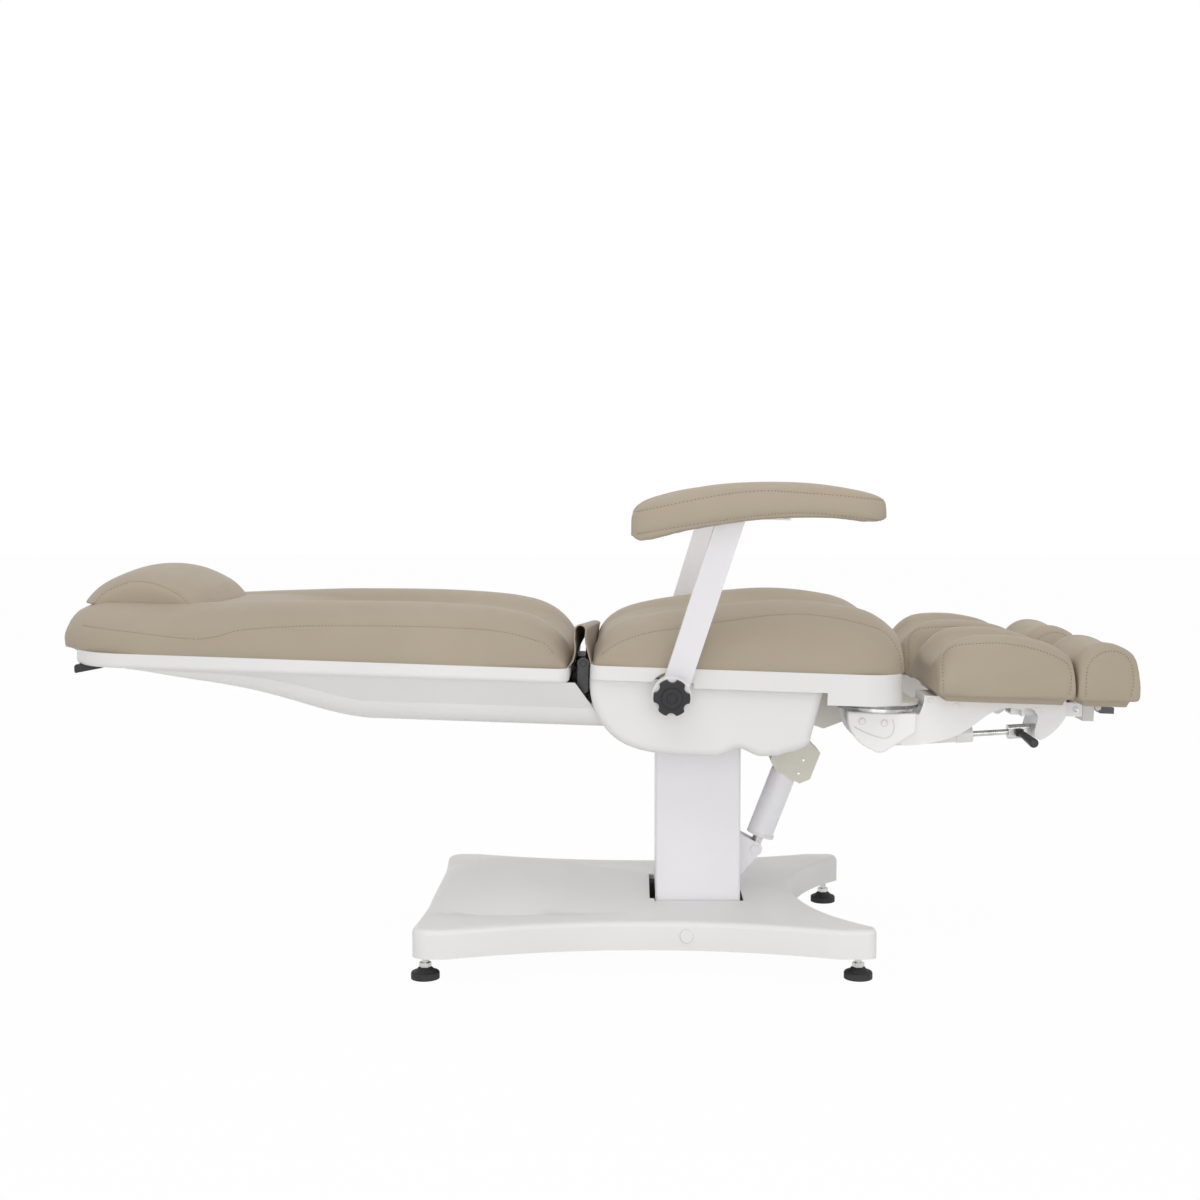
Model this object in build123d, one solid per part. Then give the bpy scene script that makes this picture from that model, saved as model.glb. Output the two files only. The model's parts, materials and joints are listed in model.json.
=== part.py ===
from build123d import *
import math
import os

# A treatment chair on an electric column, lying flat: head end at -X, foot end at +X, up is +Z.
# The origin is at floor level under the middle of the chair. All lengths are in millimetres.
# Everything above the column is drawn level and then leans foot end down about the tilt shaft.

# Shared values
overrun = 20
running_gap = 0.05
soft_gap = 0.4
slide_gap = 0.3
rest_tilt = 2
quarter_turn = 90
standing = (Align.CENTER, Align.CENTER, Align.MIN)
edge_share = 0.25
tilt_x = 193
tilt_z = 420
sheet_steel = 4
plastic_wall = 4
chair_foot_x = 930.5

# Base cover and its feet
cover_head_x = -314
cover_toe_x = 495
cover_half_width = 300
cover_waist_half_width = 242
cover_waist_x = 90
cover_waist_start_x = -250
cover_waist_end_x = 430
cover_head_hollow = 14
cover_notch_x = 376
cover_toe_inner_y = 272
cover_toe_corner = 17
cover_bottom_z = 41.5
cover_deck_z = 93
cover_corner = 28
cover_edge = 10
mound_head_x = -298
mound_column_x = 112
mound_height = 60
mound_top_half_width = 105
mound_base_half_width = 205
mound_along_shares = (0.0, 0.07, 0.17, 0.35, 0.58, 0.75, 0.9, 1.0)
mound_height_shares = (0.08, 0.62, 0.88, 1.0, 0.78, 0.45, 0.22, 0.12)
mound_flank_share = 0.62
mound_shoulder_share = 0.86
mound_lean_share = 0.667
plug_x = 167
plug_radius = 12
plug_stem = 8
plug_dome = 3
plug_round = 2.4
foot_head_x = -290
foot_toe_x = 466
foot_y = 267
pad_radius = 25
pad_top_radius = 19
pad_height = 12
pad_shoulder = 8
pad_edge = 3
stud_radius = 6
stud_nut_radius = 11
stud_nut_height = 8
stud_nut_sides = 6
inlet_y = 130
inlet_width = 50
inlet_height = 28
inlet_depth = 34
inlet_lip = 4
inlet_face_share = 0.6

# Base frame
frame_bottom_z = 48
frame_height = 30
frame_tube = 26
arm_end_gap = 5
boss_radius = 10
core_half_length = 95
core_half_width = 124
control_length = 230
control_width = 150
control_height = 38
control_x = -125
control_bevel = 12
tray_shares = (-0.3, 0.3)

# Lift column
sleeve_head_x = 114
sleeve_foot_x = 271
sleeve_half_width = 93
sleeve_bottom_z = 82
sleeve_top_z = 392
sleeve_corner = 6
well_head_gap = 11
well_foot_gap = 6
well_side_gap = 4
post_wall = 5
post_side_gap = 5
post_top_z = 384
guide_height = 60
guide_width = 50
guide_pitch = 120
motor_radius = 38
motor_height = 130
motor_edge = 9.5
motor_tube_radius = 27
motor_tube_top_z = 370
lift_rod_radius = 17
lift_rod_bottom_z = 190
motor_tube_wall = 4
head_plate = 8
head_ear_inner_y = 60
head_ear_outer_y = 80
head_ear_radius = 21
shaft_radius = 12
shaft_half_length = 112

# Tilt actuator
tilt_pin_x = 303
tilt_pin_z = 173
tilt_top_x = 409
tilt_top_z = 446
tilt_pin_radius = 8
tilt_eye_radius = 14
tilt_eye_half_width = 12
clevis_ear = 7
clevis_foot_low_z = 124
clevis_foot_high_z = 204
clevis_low_share = 0.86
clevis_high_share = 0.98
tilt_rod_radius = 10
tilt_tube_radius = 25
tilt_tube_start = 38
tilt_tube_end = 156
tilt_tube_wall = 4
tilt_box_end = 232
tilt_box_head_side = 37
tilt_box_foot_side = 46
tilt_box_half_width = 35
tilt_slant_length = 15.3
tilt_neck_half_width = 12
tilt_neck_radius = 13
tilt_open_gap = 1.4

# Seat shell
seat_rear_x = -5
seat_front_x = 541
seat_half_width = 305
rim_top_z = 545
rim_low_z = 521
rim_front_low_z = 491
rim_side_low_z = 512
rim_deep_x = 402
rim_wall = 4.5
rim_rear_corner = 24
rim_front_corner = 80
bowl_half_width = 288
bowl_front_x = 400
bowl_bottom_z = 392
bowl_edge = 15
bowl_along_shares = (0.0, 0.015, 0.055, 0.125, 0.20, 0.29, 0.39)
bowl_depth_shares = (0.0, 0.35, 0.60, 0.82, 0.925, 0.98, 1.0)
bowl_arch_along_shares = (0.55, 0.6, 0.645, 0.69, 0.75)
bowl_arch_depth_shares = (1.0, 0.94, 0.885, 0.93, 0.975)
bowl_nose_along_shares = (0.81, 0.90, 0.935, 0.95)
bowl_nose_depth_shares = (0.965, 0.87, 0.80, 0.68)
column_well_half_width = 115
column_well_gap = 5
actuator_well_half_width = 52
actuator_well_x = 350
hub_notch_radius = 38
hinge_slot_gap = 4
rod_slot_half_width = 50

# Seat frame
rail_inner_y = 96
rail_width = 25
rail_bottom_z = 491
rail_height = 29.7
seat_rail_rear_x = 20
seat_rail_front_x = 520
seat_bar_width = 25
seat_bar_starts = (20, 123, 290, 440)
lug_thickness = 10
lug_radius = 24
lug_top_half_length = 60
back_anchor_x = 36
back_anchor_z = 440
anchor_ear_inner_y = 12
anchor_ear = 7
anchor_radius = 13
anchor_pin_radius = 6
anchor_pin_gap = 1
back_lug_foot = 39

# Front beam and leg swivels
beam_rear_x = 384
beam_heel_x = 429
beam_heel_z = 414
beam_rear_z = 428
beam_front_x = 572
beam_front_z = 474
beam_half_width = 44
beam_wall = 5
beam_top = 6
swivel_x = 505
swivel_y = 170
swivel_radius = 75
swivel_plate = 6
swivel_gap = 0.3
arm_plate_rear_x = 440

# Hinge of the backrest
hinge_x = -18
hinge_z = 542
hinge_eye_radius = 11
hinge_pin_radius = 5
hinge_strip = 20
hinge_plate = 8
hinge_inner_y = 232
hinge_foot = 22
hinge_drop = 45.5
flap_half_width = 282
flap_thickness = 2.4
flap_left_x = -43
flap_right_x = -2.5
flap_crown_z = 613
flap_crown_half_width = 11
flap_crown_x = -12
flap_left_swell = 16.5
flap_right_swell = 9.9
flap_left_share = 0.333
flap_right_share = 0.667

# Backrest shell and frame
back_head_x = -905
back_hinge_x = -40
back_rim_low_z = 512
back_rim_top_z = 537
back_head_corner = 95
back_hinge_corner = 24
casing_head_x = -800
casing_foot_top_x = -30
casing_foot_low_x = 27
casing_low_z = 430
casing_top_half_width = 287
casing_low_half_width = 250
casing_corner = 34
casing_corner_share = 0.7
casing_foot_drop = 1
casing_flat_x = -390
casing_along_shares = (0.0, 0.13, 0.30, 0.5, 0.72, 0.9, 1.0)
casing_depth_shares = (0.03, 0.12, 0.25, 0.42, 0.72, 0.94, 1.0)
back_rail_inner_y = 84
back_rail_width = 24
back_rail_head_x = -640
back_rail_foot_x = -48
back_rail_low_z = 484
back_bar_starts = (-640, -515, -385)
back_bar_width = 24
head_board_low_z = 500

# Backrest actuator
back_pivot_x = -348
back_pivot_z = 470
back_eye_half_width = 9
back_eye_radius = 13
back_box_start = 22
back_box_end = 118
back_box_half_height = 29
back_box_rise = 4
back_box_half_width = 36
back_box_edge = 9.7
back_tube_radius = 16
back_tube_end = 250
back_rod_radius = 8.5
back_rod_start = 130
back_slot_half_width = 20
back_slot_rise = 12
back_groove_depth = 22
back_groove_length = 260
back_recess_depth = 9

# Upholstery of seat and backrest
cushion_half_width = 302
cushion_base_half_width = 299
seat_cushion_base_z = 526
seat_cushion_rear_x = 0
seat_cushion_front_x = 537
seat_crest_height = 128
seat_along_shares = (0.0, 0.035, 0.1, 0.22, 0.4, 0.62, 0.8, 0.91, 0.97, 1.0)
seat_crest_shares = (0.28, 0.5, 0.64, 0.77, 0.9, 1.0, 0.96, 0.84, 0.62, 0.3)
seat_valley_shares = (0.26, 0.46, 0.57, 0.62, 0.66, 0.7, 0.68, 0.62, 0.5, 0.26)
seat_width_shares = (0.955, 0.98, 0.99, 1.0, 1.0, 1.0, 0.995, 0.965, 0.9, 0.82)
back_cushion_base_z = 518
back_cushion_head_x = -924
back_cushion_hinge_x = -44
back_crest_height = 110
back_along_shares = (0.0, 0.03, 0.1, 0.26, 0.34, 0.46, 0.66, 0.8, 0.91, 0.97, 1.0)
back_crest_shares = (0.42, 0.74, 0.8, 0.82, 0.87, 0.95, 1.0, 0.985, 0.88, 0.64, 0.3)
back_valley_shares = (0.41, 0.73, 0.79, 0.84, 0.86, 0.72, 0.68, 0.66, 0.6, 0.5, 0.28)
back_width_shares = (0.72, 0.84, 0.955, 1.0, 1.0, 1.0, 1.0, 0.995, 0.985, 0.97, 0.95)
shoulder_width_share = 0.965
shoulder_height_share = 0.6
crest_place_share = 0.7
inner_place_share = 0.4

# Head pillow and its strap
pillow_head_x = -928
pillow_foot_x = -688
pillow_half_length = 172
pillow_base_z = 604
pillow_height = 71
pillow_edge_share = 0.08
pillow_end_share = 0.55
pillow_across_shares = (-1.0, -0.9, -0.6, 0.0, 0.6, 0.9, 1.0)
pillow_size_shares = (0.5, 0.72, 0.92, 1.0, 0.92, 0.72, 0.5)
strap_half_width = 60
strap_thickness = 2
strap_gap = 0.1
strap_reach_share = 0.1

# Handset hook under the head end
hook_head_x = -893
hook_length = 46
hook_height = 15
hook_width = 40
hook_y = -250
hook_thin_share = 0.3

# Armrests
arm_x = 135
arm_z = 501
arm_lean = 20
arm_stub_radius = 11
arm_thread_radius = 6
arm_stub_inner_y = 255
arm_hub_inner_y = 315
arm_hub_outer_y = 345
post_hub_y = 327.5
arm_hub_radius = 33
post_width = 44
post_depth = 24
post_length = 303
post_out = 48
post_plate_length = 190
post_plate_width = 44
post_plate = 3
knob_radius = 31
knob_scoop_radius = 9
knob_scoop_place = 34
knob_thickness = 17
knob_cap_radius = 17
knob_cap = 5
knob_lobes = 6
pad_y = 380
pad_half_width = 45
pad_rear_x = 57
pad_front_x = 473
pad_low_z = 758
pad_rise = 108
pad_along_shares = (0.0, 0.04, 0.13, 0.28, 0.48, 0.7, 0.88, 0.97, 1.0)
pad_top_shares = (0.43, 0.6, 0.75, 0.9, 0.985, 1.0, 0.93, 0.85, 0.78)
pad_low_shares = (0.12, 0.04, 0.13, 0.28, 0.42, 0.49, 0.47, 0.45, 0.5)
pad_width_shares = (0.6, 0.82, 0.97, 1.0, 1.0, 1.0, 0.97, 0.82, 0.62)

# Leg rests
fold_x = 534
fold_z = 457
fold_pin_radius = 8
hub_drop = 6
hub_rear_x = 454
hub_front_x = 560
hub_low_z = 409
hub_cheek_inner = 20
hub_cheek_outer = 38
cap_inner = 46
cap_outer = 68
cap_rear_x = 447
cap_front_x = 567
cap_low_z = 402
cap_side_low_z = 440
cap_toe_x = 505
leg_plate_inner = 41
leg_plate = 4
leg_top_z = 503
leg_neck_x = 583
leg_root_low_z = 413
leg_box_x = 742
leg_box_end_x = 869
leg_box_low_z = 472
leg_box_top_z = 497
leg_box_half_width = 22
leg_box_wall = 3
spring_rear_x = 512
spring_rear_z = 416
spring_front_x = 790
spring_front_z = 442
gas_tube_radius = 13
gas_sleeve_radius = 14.5
gas_sleeve_length = 30
gas_tube_end = 168
gas_wall = 2.5
gas_eye_radius = 11
gas_eye_half_width = 7
gas_rod_radius = 5
gas_rod_inner = 100
gas_head_start = 232
gas_head_half_width = 11
gas_head_half_height = 12
gas_pin_radius = 5
lever_shank_radius = 4
lever_grip_radius = 8.5
lever_root_radius = 6
lever_shank = 20
lever_grip = 56
lever_place = 250
lever_forward = 8
lever_boss_radius = 6.5

# Calf and foot cushions
calf_rear_x = 592
calf_front_x = 820
calf_inner_y = 35
calf_outer_y = 314
calf_base_z = 515
calf_height = 99
calf_along_shares = (0.0, 0.04, 0.13, 0.28, 0.5, 0.72, 0.88, 0.97, 1.0)
calf_crest_shares = (0.42, 0.66, 0.86, 0.97, 1.0, 0.94, 0.8, 0.6, 0.38)
calf_valley_shares = (0.36, 0.55, 0.68, 0.74, 0.76, 0.72, 0.62, 0.48, 0.32)
board_thickness = 12
board_inset = 22
foot_rear_x = 829
foot_inner_y = 60
foot_along_shares = (0.0, 0.05, 0.16, 0.32, 0.5, 0.7, 0.87, 0.97, 1.0)
foot_crest_shares = (0.38, 0.64, 0.85, 0.97, 1.0, 0.95, 0.8, 0.58, 0.36)
foot_valley_shares = (0.34, 0.57, 0.76, 0.87, 0.9, 0.85, 0.71, 0.52, 0.33)
foot_height = 96
slide_tail_x = 748
slide_bush_end_x = 889
slide_bush_low_z = 465
slide_bush_half_width = 24
slide_plate = 4.5
slide_plate_rear_x = 846
slide_plate_front_x = 914
foot_lever_x = 898
foot_lever_z = 489
foot_lever_radius = 5.5
foot_lever_half_width = 12.5
foot_lever_tip_x = 928
foot_lever_blade = 11
foot_lever_pin_radius = 2.5
foot_ear = 4


# Placing helpers

def block(x_low, x_high, y_low, y_high, z_low, z_high):
    """A box between two opposite corners."""
    middle = Pos((x_low + x_high) / 2, (y_low + y_high) / 2, (z_low + z_high) / 2)
    return middle * Box(x_high - x_low, y_high - y_low, z_high - z_low)


def bar_y(radius, x, z, y_low, y_high):
    """A round bar across the chair."""
    return Pos(x, (y_low + y_high) / 2, z) * Rot(quarter_turn, 0, 0) * Cylinder(radius, y_high - y_low)


def bar_z(radius, x, y, z_low, z_high):
    """An upright round bar."""
    return Pos(x, y, (z_low + z_high) / 2) * Cylinder(radius, z_high - z_low)


def across(face, y_low, y_high):
    """Extrude a face drawn in the side view from one distance off the middle to another."""
    return extrude(Pos(0, y_high, 0) * face, amount=y_high - y_low, dir=(0, -1, 0))


def upwards(face, z_low, z_high):
    """Extrude a face drawn in plan between two heights."""
    return extrude(Pos(0, 0, z_low) * face, amount=z_high - z_low, dir=(0, 0, 1))


def side_points(points):
    """Points given as (x, z) in the side view."""
    return [(x, 0, z) for x, z in points]


def side_face(*curves):
    """A face in the side view inside connected curves."""
    return make_face([edge for curve in curves for edge in curve.edges()])


def side_polygon(points):
    """A straight-sided face in the side view."""
    return side_face(Polyline(*side_points(points), close=True))


def eye_plate(eye_x, eye_z, radius, points):
    """A flat plate in the side view that ends in a round eye."""
    eye = Pos(eye_x, 0, eye_z) * Rot(quarter_turn, 0, 0) * Circle(radius)
    return side_polygon(points) + eye


def plan_rectangle(x_low, x_high, half_width, low_corner, high_corner):
    """A plan outline with one corner radius at each end."""
    length = x_high - x_low
    face = Pos((x_low + x_high) / 2, 0, 0) * Rectangle(length, 2 * half_width)
    low_corners = face.vertices().sort_by(Axis.X)[:2]
    face = fillet(low_corners, low_corner)
    high_corners = face.vertices().sort_by(Axis.X)[-2:]
    return fillet(high_corners, high_corner)


def tilted(shape):
    """Lean a piece of the upper chair about the tilt shaft."""
    return Pos(tilt_x, 0, tilt_z) * Rot(0, rest_tilt, 0) * Pos(-tilt_x, 0, -tilt_z) * shape


def along(start_x, start_z, end_x, end_z):
    """A frame at the first point whose Z runs towards the second, in the side view."""
    return Location(Plane((start_x, 0, start_z), x_dir=(0, 1, 0), z_dir=(end_x - start_x, 0, end_z - start_z)))


def cushion_section(x, middle_y, base_half, side_half, base_z, crest, valley):
    """One cross section of a padded bolster with a crest on each side of a shallow valley."""
    shoulder_y = side_half * shoulder_width_share
    shoulder_z = base_z + crest * shoulder_height_share
    crest_y = side_half * crest_place_share
    inner_y = side_half * inner_place_share
    inner_z = base_z + (crest + valley) / 2
    side_z = (base_z + shoulder_z) / 2

    def point(y, z):
        return (x, middle_y + y, z)

    def side(sign):
        wall = ThreePointArc(point(sign * base_half, base_z), point(sign * side_half, side_z),
                             point(sign * shoulder_y, shoulder_z))
        roll = ThreePointArc(point(sign * shoulder_y, shoulder_z), point(sign * crest_y, base_z + crest),
                             point(sign * inner_y, inner_z))
        return wall, roll

    left_wall, left_roll = side(1)
    right_wall, right_roll = side(-1)
    base = Line(point(-base_half, base_z), point(base_half, base_z))
    dip = ThreePointArc(point(inner_y, inner_z), point(0, base_z + valley), point(-inner_y, inner_z))
    return make_face([base, left_wall, left_roll, dip, right_roll, right_wall])


def cushion(x_low, x_high, middle_y, half_width, base_half, base_z, height, shares):
    """A padded solid lofted through its cross sections from one end to the other."""
    sections = []
    for along_share, crest_share, valley_share, width_share in zip(*shares):
        x = x_low + along_share * (x_high - x_low)
        sections.append(cushion_section(x, middle_y, base_half * width_share, half_width * width_share, base_z,
                                        height * crest_share, height * valley_share))
    return loft(sections)


def seated_cushion(body, outline, base_z, rim_z):
    """The cushion with its lower part drawn in so that it sits inside the rim of its shell."""
    box = body.bounding_box()
    low = block(box.min.X - overrun, box.max.X + overrun, box.min.Y - overrun, box.max.Y + overrun,
                base_z - overrun, rim_z)
    return (body - low) + (body & upwards(outline, base_z, rim_z))


# Base

def cover_outline():
    """Plan of the base cover: waisted sides, hollow head end and a deep curve between the front feet."""
    head = ThreePointArc((cover_head_x, cover_half_width), (cover_head_x + cover_head_hollow, 0),
                         (cover_head_x, -cover_half_width))
    notch = ThreePointArc((cover_toe_x, -cover_toe_inner_y), (cover_notch_x, 0), (cover_toe_x, cover_toe_inner_y))
    edges = [head, notch]
    for sign in (1, -1):
        outer = sign * cover_half_width
        edges.append(Line((cover_head_x, outer), (cover_waist_start_x, outer)))
        edges.append(ThreePointArc((cover_waist_start_x, outer), (cover_waist_x, sign * cover_waist_half_width),
                                   (cover_waist_end_x, outer)))
        edges.append(Line((cover_waist_end_x, outer), (cover_toe_x, outer)))
        edges.append(Line((cover_toe_x, outer), (cover_toe_x, sign * cover_toe_inner_y)))
    face = make_face(edges)
    head_corners = face.vertices().sort_by(Axis.X)[:2]
    face = fillet(head_corners, cover_corner)
    toe_middle_y = (cover_toe_inner_y + cover_half_width) / 2
    toe_corners = [corner for corner in face.vertices()
                   if corner.X > cover_notch_x and abs(corner.Y) > toe_middle_y and corner.X > cover_waist_end_x + running_gap]
    return fillet(toe_corners, cover_toe_corner)


def mound(shrink):
    """The rounded hump on the deck that falls from the head end towards the column."""
    sections = []
    for along_share, height_share in zip(mound_along_shares, mound_height_shares):
        x = mound_head_x + along_share * (mound_column_x - mound_head_x)
        top = cover_deck_z + height_share * mound_height - shrink
        foot = cover_deck_z - plastic_wall - shrink
        base_y = mound_base_half_width - shrink
        top_y = mound_top_half_width - shrink
        side_y = base_y + (top_y - base_y) * mound_lean_share
        side_z = foot + (top - foot) * mound_flank_share
        shoulder_z = foot + (top - foot) * mound_shoulder_share

        def point(y, z):
            return (x, y, z)

        roof = ThreePointArc(point(top_y, shoulder_z), point(0, top), point(-top_y, shoulder_z))
        left = ThreePointArc(point(base_y, foot), point(side_y, side_z), point(top_y, shoulder_z))
        right = ThreePointArc(point(-top_y, shoulder_z), point(-side_y, side_z), point(-base_y, foot))
        floor = Line(point(-base_y, foot), point(base_y, foot))
        sections.append(make_face([floor, left, roof, right]))
    return loft(sections)


def waist_half_width(x):
    """Half width of the cover's waisted side at one place along it."""
    chord = (cover_waist_end_x - cover_waist_start_x) / 2
    rise = cover_half_width - cover_waist_half_width
    radius = (chord * chord + rise * rise) / (2 * rise)
    return cover_waist_half_width + radius - math.sqrt(radius * radius - (x - cover_waist_x) ** 2)


def base_cover():
    outline = cover_outline()
    outer = upwards(outline, cover_bottom_z, cover_deck_z)
    outer = fillet(outer.faces().sort_by(Axis.Z)[-1].edges(), cover_edge)
    inner_outline = offset(outline, -plastic_wall)
    inner = upwards(inner_outline, cover_bottom_z - overrun, cover_deck_z - plastic_wall)
    cover = outer + mound(0) - inner - mound(plastic_wall)
    cover -= block(sleeve_head_x - well_head_gap, sleeve_foot_x + well_foot_gap,
                   -sleeve_half_width - well_side_gap, sleeve_half_width + well_side_gap,
                   cover_bottom_z, cover_deck_z + mound_height)
    plug_z = (cover_bottom_z + cover_deck_z) / 2
    cover -= bar_y(plug_stem + running_gap, plug_x, plug_z, -cover_half_width, cover_half_width)
    inlet_z = plug_z
    cover -= block(cover_head_x - overrun, cover_head_x + 2 * cover_head_hollow, inlet_y - inlet_width / 2,
                   inlet_y + inlet_width / 2, inlet_z - inlet_height / 2, inlet_z + inlet_height / 2)
    return cover


def cover_plugs():
    plug_z = (cover_bottom_z + cover_deck_z) / 2
    face_y = waist_half_width(plug_x + plug_radius) + slide_gap
    plugs = []
    for sign in (1, -1):
        stem = bar_y(plug_stem, plug_x, plug_z, face_y - 2 * plastic_wall, face_y)
        flange = bar_y(plug_radius, plug_x, plug_z, face_y, face_y + plug_dome)
        plug = stem + flange
        rim = plug.faces().sort_by(Axis.Y)[-1].edges()
        plug = fillet(rim, plug_round)
        plugs.append(plug if sign > 0 else mirror(plug, Plane.XZ))
    return Compound(plugs)


def mains_inlet():
    inlet_z = (cover_bottom_z + cover_deck_z) / 2
    face_x = cover_head_x + cover_head_hollow * inlet_face_share
    half_width = inlet_width / 2
    half_height = inlet_height / 2

    def shape(x_low, x_high, inset):
        return block(x_low, x_high, inlet_y - half_width + inset, inlet_y + half_width - inset,
                     inlet_z - half_height + inset, inlet_z + half_height - inset)

    body = shape(face_x - slide_gap, face_x + inlet_depth, slide_gap)
    return body - shape(face_x - overrun, face_x + inlet_depth / 2, inlet_lip)


def foot_places():
    return [(x, y) for x in (foot_head_x, foot_toe_x) for y in (-foot_y, foot_y)]


def foot_pads():
    pads = []
    for x, y in foot_places():
        base = bar_z(pad_radius, x, y, 0, pad_height)
        base = fillet(base.edges().sort_by(Axis.Z)[-1], pad_edge)
        top = Pos(x, y, pad_height) * Cone(pad_top_radius, stud_nut_radius, pad_shoulder, align=standing)
        pads.append(base + top)
    return Compound(pads)


def foot_studs():
    studs = []
    nut_z = pad_height + pad_shoulder
    for x, y in foot_places():
        hexagon = Pos(x, y, 0) * RegularPolygon(stud_nut_radius, stud_nut_sides)
        nut = upwards(hexagon, nut_z, nut_z + stud_nut_height)
        studs.append(nut + bar_z(stud_radius, x, y, nut_z, frame_bottom_z + frame_height / 2))
    return Compound(studs)


def frame_arm(root_x, root_y, x, y):
    """A rectangular tube of the base frame from the core to one foot boss."""
    reach = math.hypot(x - root_x, y - root_y)
    length = reach - arm_end_gap
    angle = math.degrees(math.atan2(y - root_y, x - root_x))
    x = root_x + (x - root_x) * length / reach
    y = root_y + (y - root_y) * length / reach
    middle = Pos((x + root_x) / 2, (y + root_y) / 2, frame_bottom_z + frame_height / 2)
    return middle * Rot(0, 0, angle) * Box(length, frame_tube, frame_height)


def base_frame():
    core_x = (sleeve_head_x + sleeve_foot_x) / 2
    frame = block(core_x - core_half_length, core_x + core_half_length, -core_half_width, core_half_width,
                  frame_bottom_z, frame_bottom_z + plastic_wall)
    for sign in (1, -1):
        root_y = sign * (core_half_width - frame_tube / 2)
        frame += block(core_x - core_half_length, core_x + core_half_length, root_y - frame_tube / 2,
                       root_y + frame_tube / 2, frame_bottom_z, frame_bottom_z + frame_height)
        frame += frame_arm(core_x - core_half_length / 2, root_y, foot_head_x, sign * foot_y)
        frame += frame_arm(core_x + core_half_length / 2, root_y, foot_toe_x, sign * foot_y)
    for x, y in foot_places():
        frame += bar_z(boss_radius, x, y, frame_bottom_z, cover_deck_z - plastic_wall)
    for x, y in foot_places():
        frame -= bar_z(stud_radius + running_gap, x, y, frame_bottom_z - overrun, frame_bottom_z + frame_height / 2)
    for strip in control_tray():
        frame += strip
    return frame


def control_box():
    low_z = cover_deck_z - plastic_wall - frame_height / 2
    box = block(control_x - control_length / 2, control_x + control_length / 2, -control_width / 2,
                control_width / 2, low_z, low_z + control_height)
    return chamfer(box.edges().filter_by(Axis.X).group_by(Axis.Z)[-1], control_bevel)


def control_tray():
    """Two strips of the base frame that carry the control box."""
    low_z = cover_deck_z - plastic_wall - frame_height / 2
    root_x = column_middle() - core_half_length / 2
    root_y = core_half_width - frame_tube / 2
    strips = []
    for share in tray_shares:
        x = control_x + share * control_length
        reach = root_y + (foot_y - root_y) * (root_x - x) / (root_x - foot_head_x)
        strips.append(block(x - frame_tube / 2, x + frame_tube / 2, -reach, reach,
                            low_z - 2 * plastic_wall, low_z))
    return strips


# Lift column

def column_middle():
    return (sleeve_head_x + sleeve_foot_x) / 2


def column_sleeve():
    length = sleeve_foot_x - sleeve_head_x
    outer = RectangleRounded(length, 2 * sleeve_half_width, sleeve_corner)
    inner = Rectangle(length - 2 * sheet_steel, 2 * sleeve_half_width - 2 * sheet_steel)
    return upwards(Pos(column_middle(), 0, 0) * (outer - inner), sleeve_bottom_z, sleeve_top_z)


def column_post():
    half_length = (sleeve_foot_x - sleeve_head_x) / 2 - sheet_steel - post_side_gap
    half_width = sleeve_half_width - sheet_steel - post_side_gap
    outer = Rectangle(2 * half_length, 2 * half_width)
    inner = Rectangle(2 * half_length - 2 * post_wall, 2 * half_width - 2 * post_wall)
    bottom = frame_bottom_z + plastic_wall
    post = upwards(Pos(column_middle(), 0, 0) * (outer - inner), bottom, post_top_z)
    reach = post_side_gap - slide_gap
    high_guide_z = post_top_z - guide_height
    for low in (high_guide_z, high_guide_z - guide_pitch):
        for sign in (1, -1):
            side_y = sign * (half_width + reach / 2)
            post += block(column_middle() - guide_width / 2, column_middle() + guide_width / 2,
                          side_y - reach / 2, side_y + reach / 2, low, low + guide_height)
            side_x = column_middle() + sign * (half_length + reach / 2)
            post += block(side_x - reach / 2, side_x + reach / 2, -guide_width / 2, guide_width / 2,
                          low, low + guide_height)
    return post


def lift_motor():
    bottom = frame_bottom_z + plastic_wall
    motor = bar_z(motor_radius, column_middle(), 0, bottom, bottom + motor_height)
    motor = fillet(motor.edges().sort_by(Axis.Z)[-1], motor_edge)
    motor += bar_z(motor_tube_radius, column_middle(), 0, bottom + motor_height / 2, motor_tube_top_z)
    motor -= bar_z(motor_tube_radius - motor_tube_wall, column_middle(), 0, lift_rod_bottom_z - overrun / 2,
                   motor_tube_top_z - 2 * motor_tube_wall)
    return motor - bar_z(lift_rod_radius + running_gap, column_middle(), 0, lift_rod_bottom_z,
                         motor_tube_top_z)


def lift_rod():
    return bar_z(lift_rod_radius, column_middle(), 0, lift_rod_bottom_z, sleeve_top_z)


def column_head():
    plate = block(sleeve_head_x, sleeve_foot_x, -sleeve_half_width, sleeve_half_width, sleeve_top_z,
                  sleeve_top_z + head_plate)
    foot = 2 * head_ear_radius
    ear = eye_plate(tilt_x, tilt_z, head_ear_radius,
                    [(tilt_x - foot, sleeve_top_z), (tilt_x + foot, sleeve_top_z),
                     (tilt_x + head_ear_radius, tilt_z), (tilt_x - head_ear_radius, tilt_z)])
    head = plate
    for sign in (1, -1):
        low, high = sorted((sign * head_ear_inner_y, sign * head_ear_outer_y))
        head += across(ear, low, high)
    return head - bar_y(shaft_radius, tilt_x, tilt_z, -shaft_half_length, shaft_half_length)


def tilt_shaft():
    return bar_y(shaft_radius, tilt_x, tilt_z, -shaft_half_length, shaft_half_length)


# Tilt actuator

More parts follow.
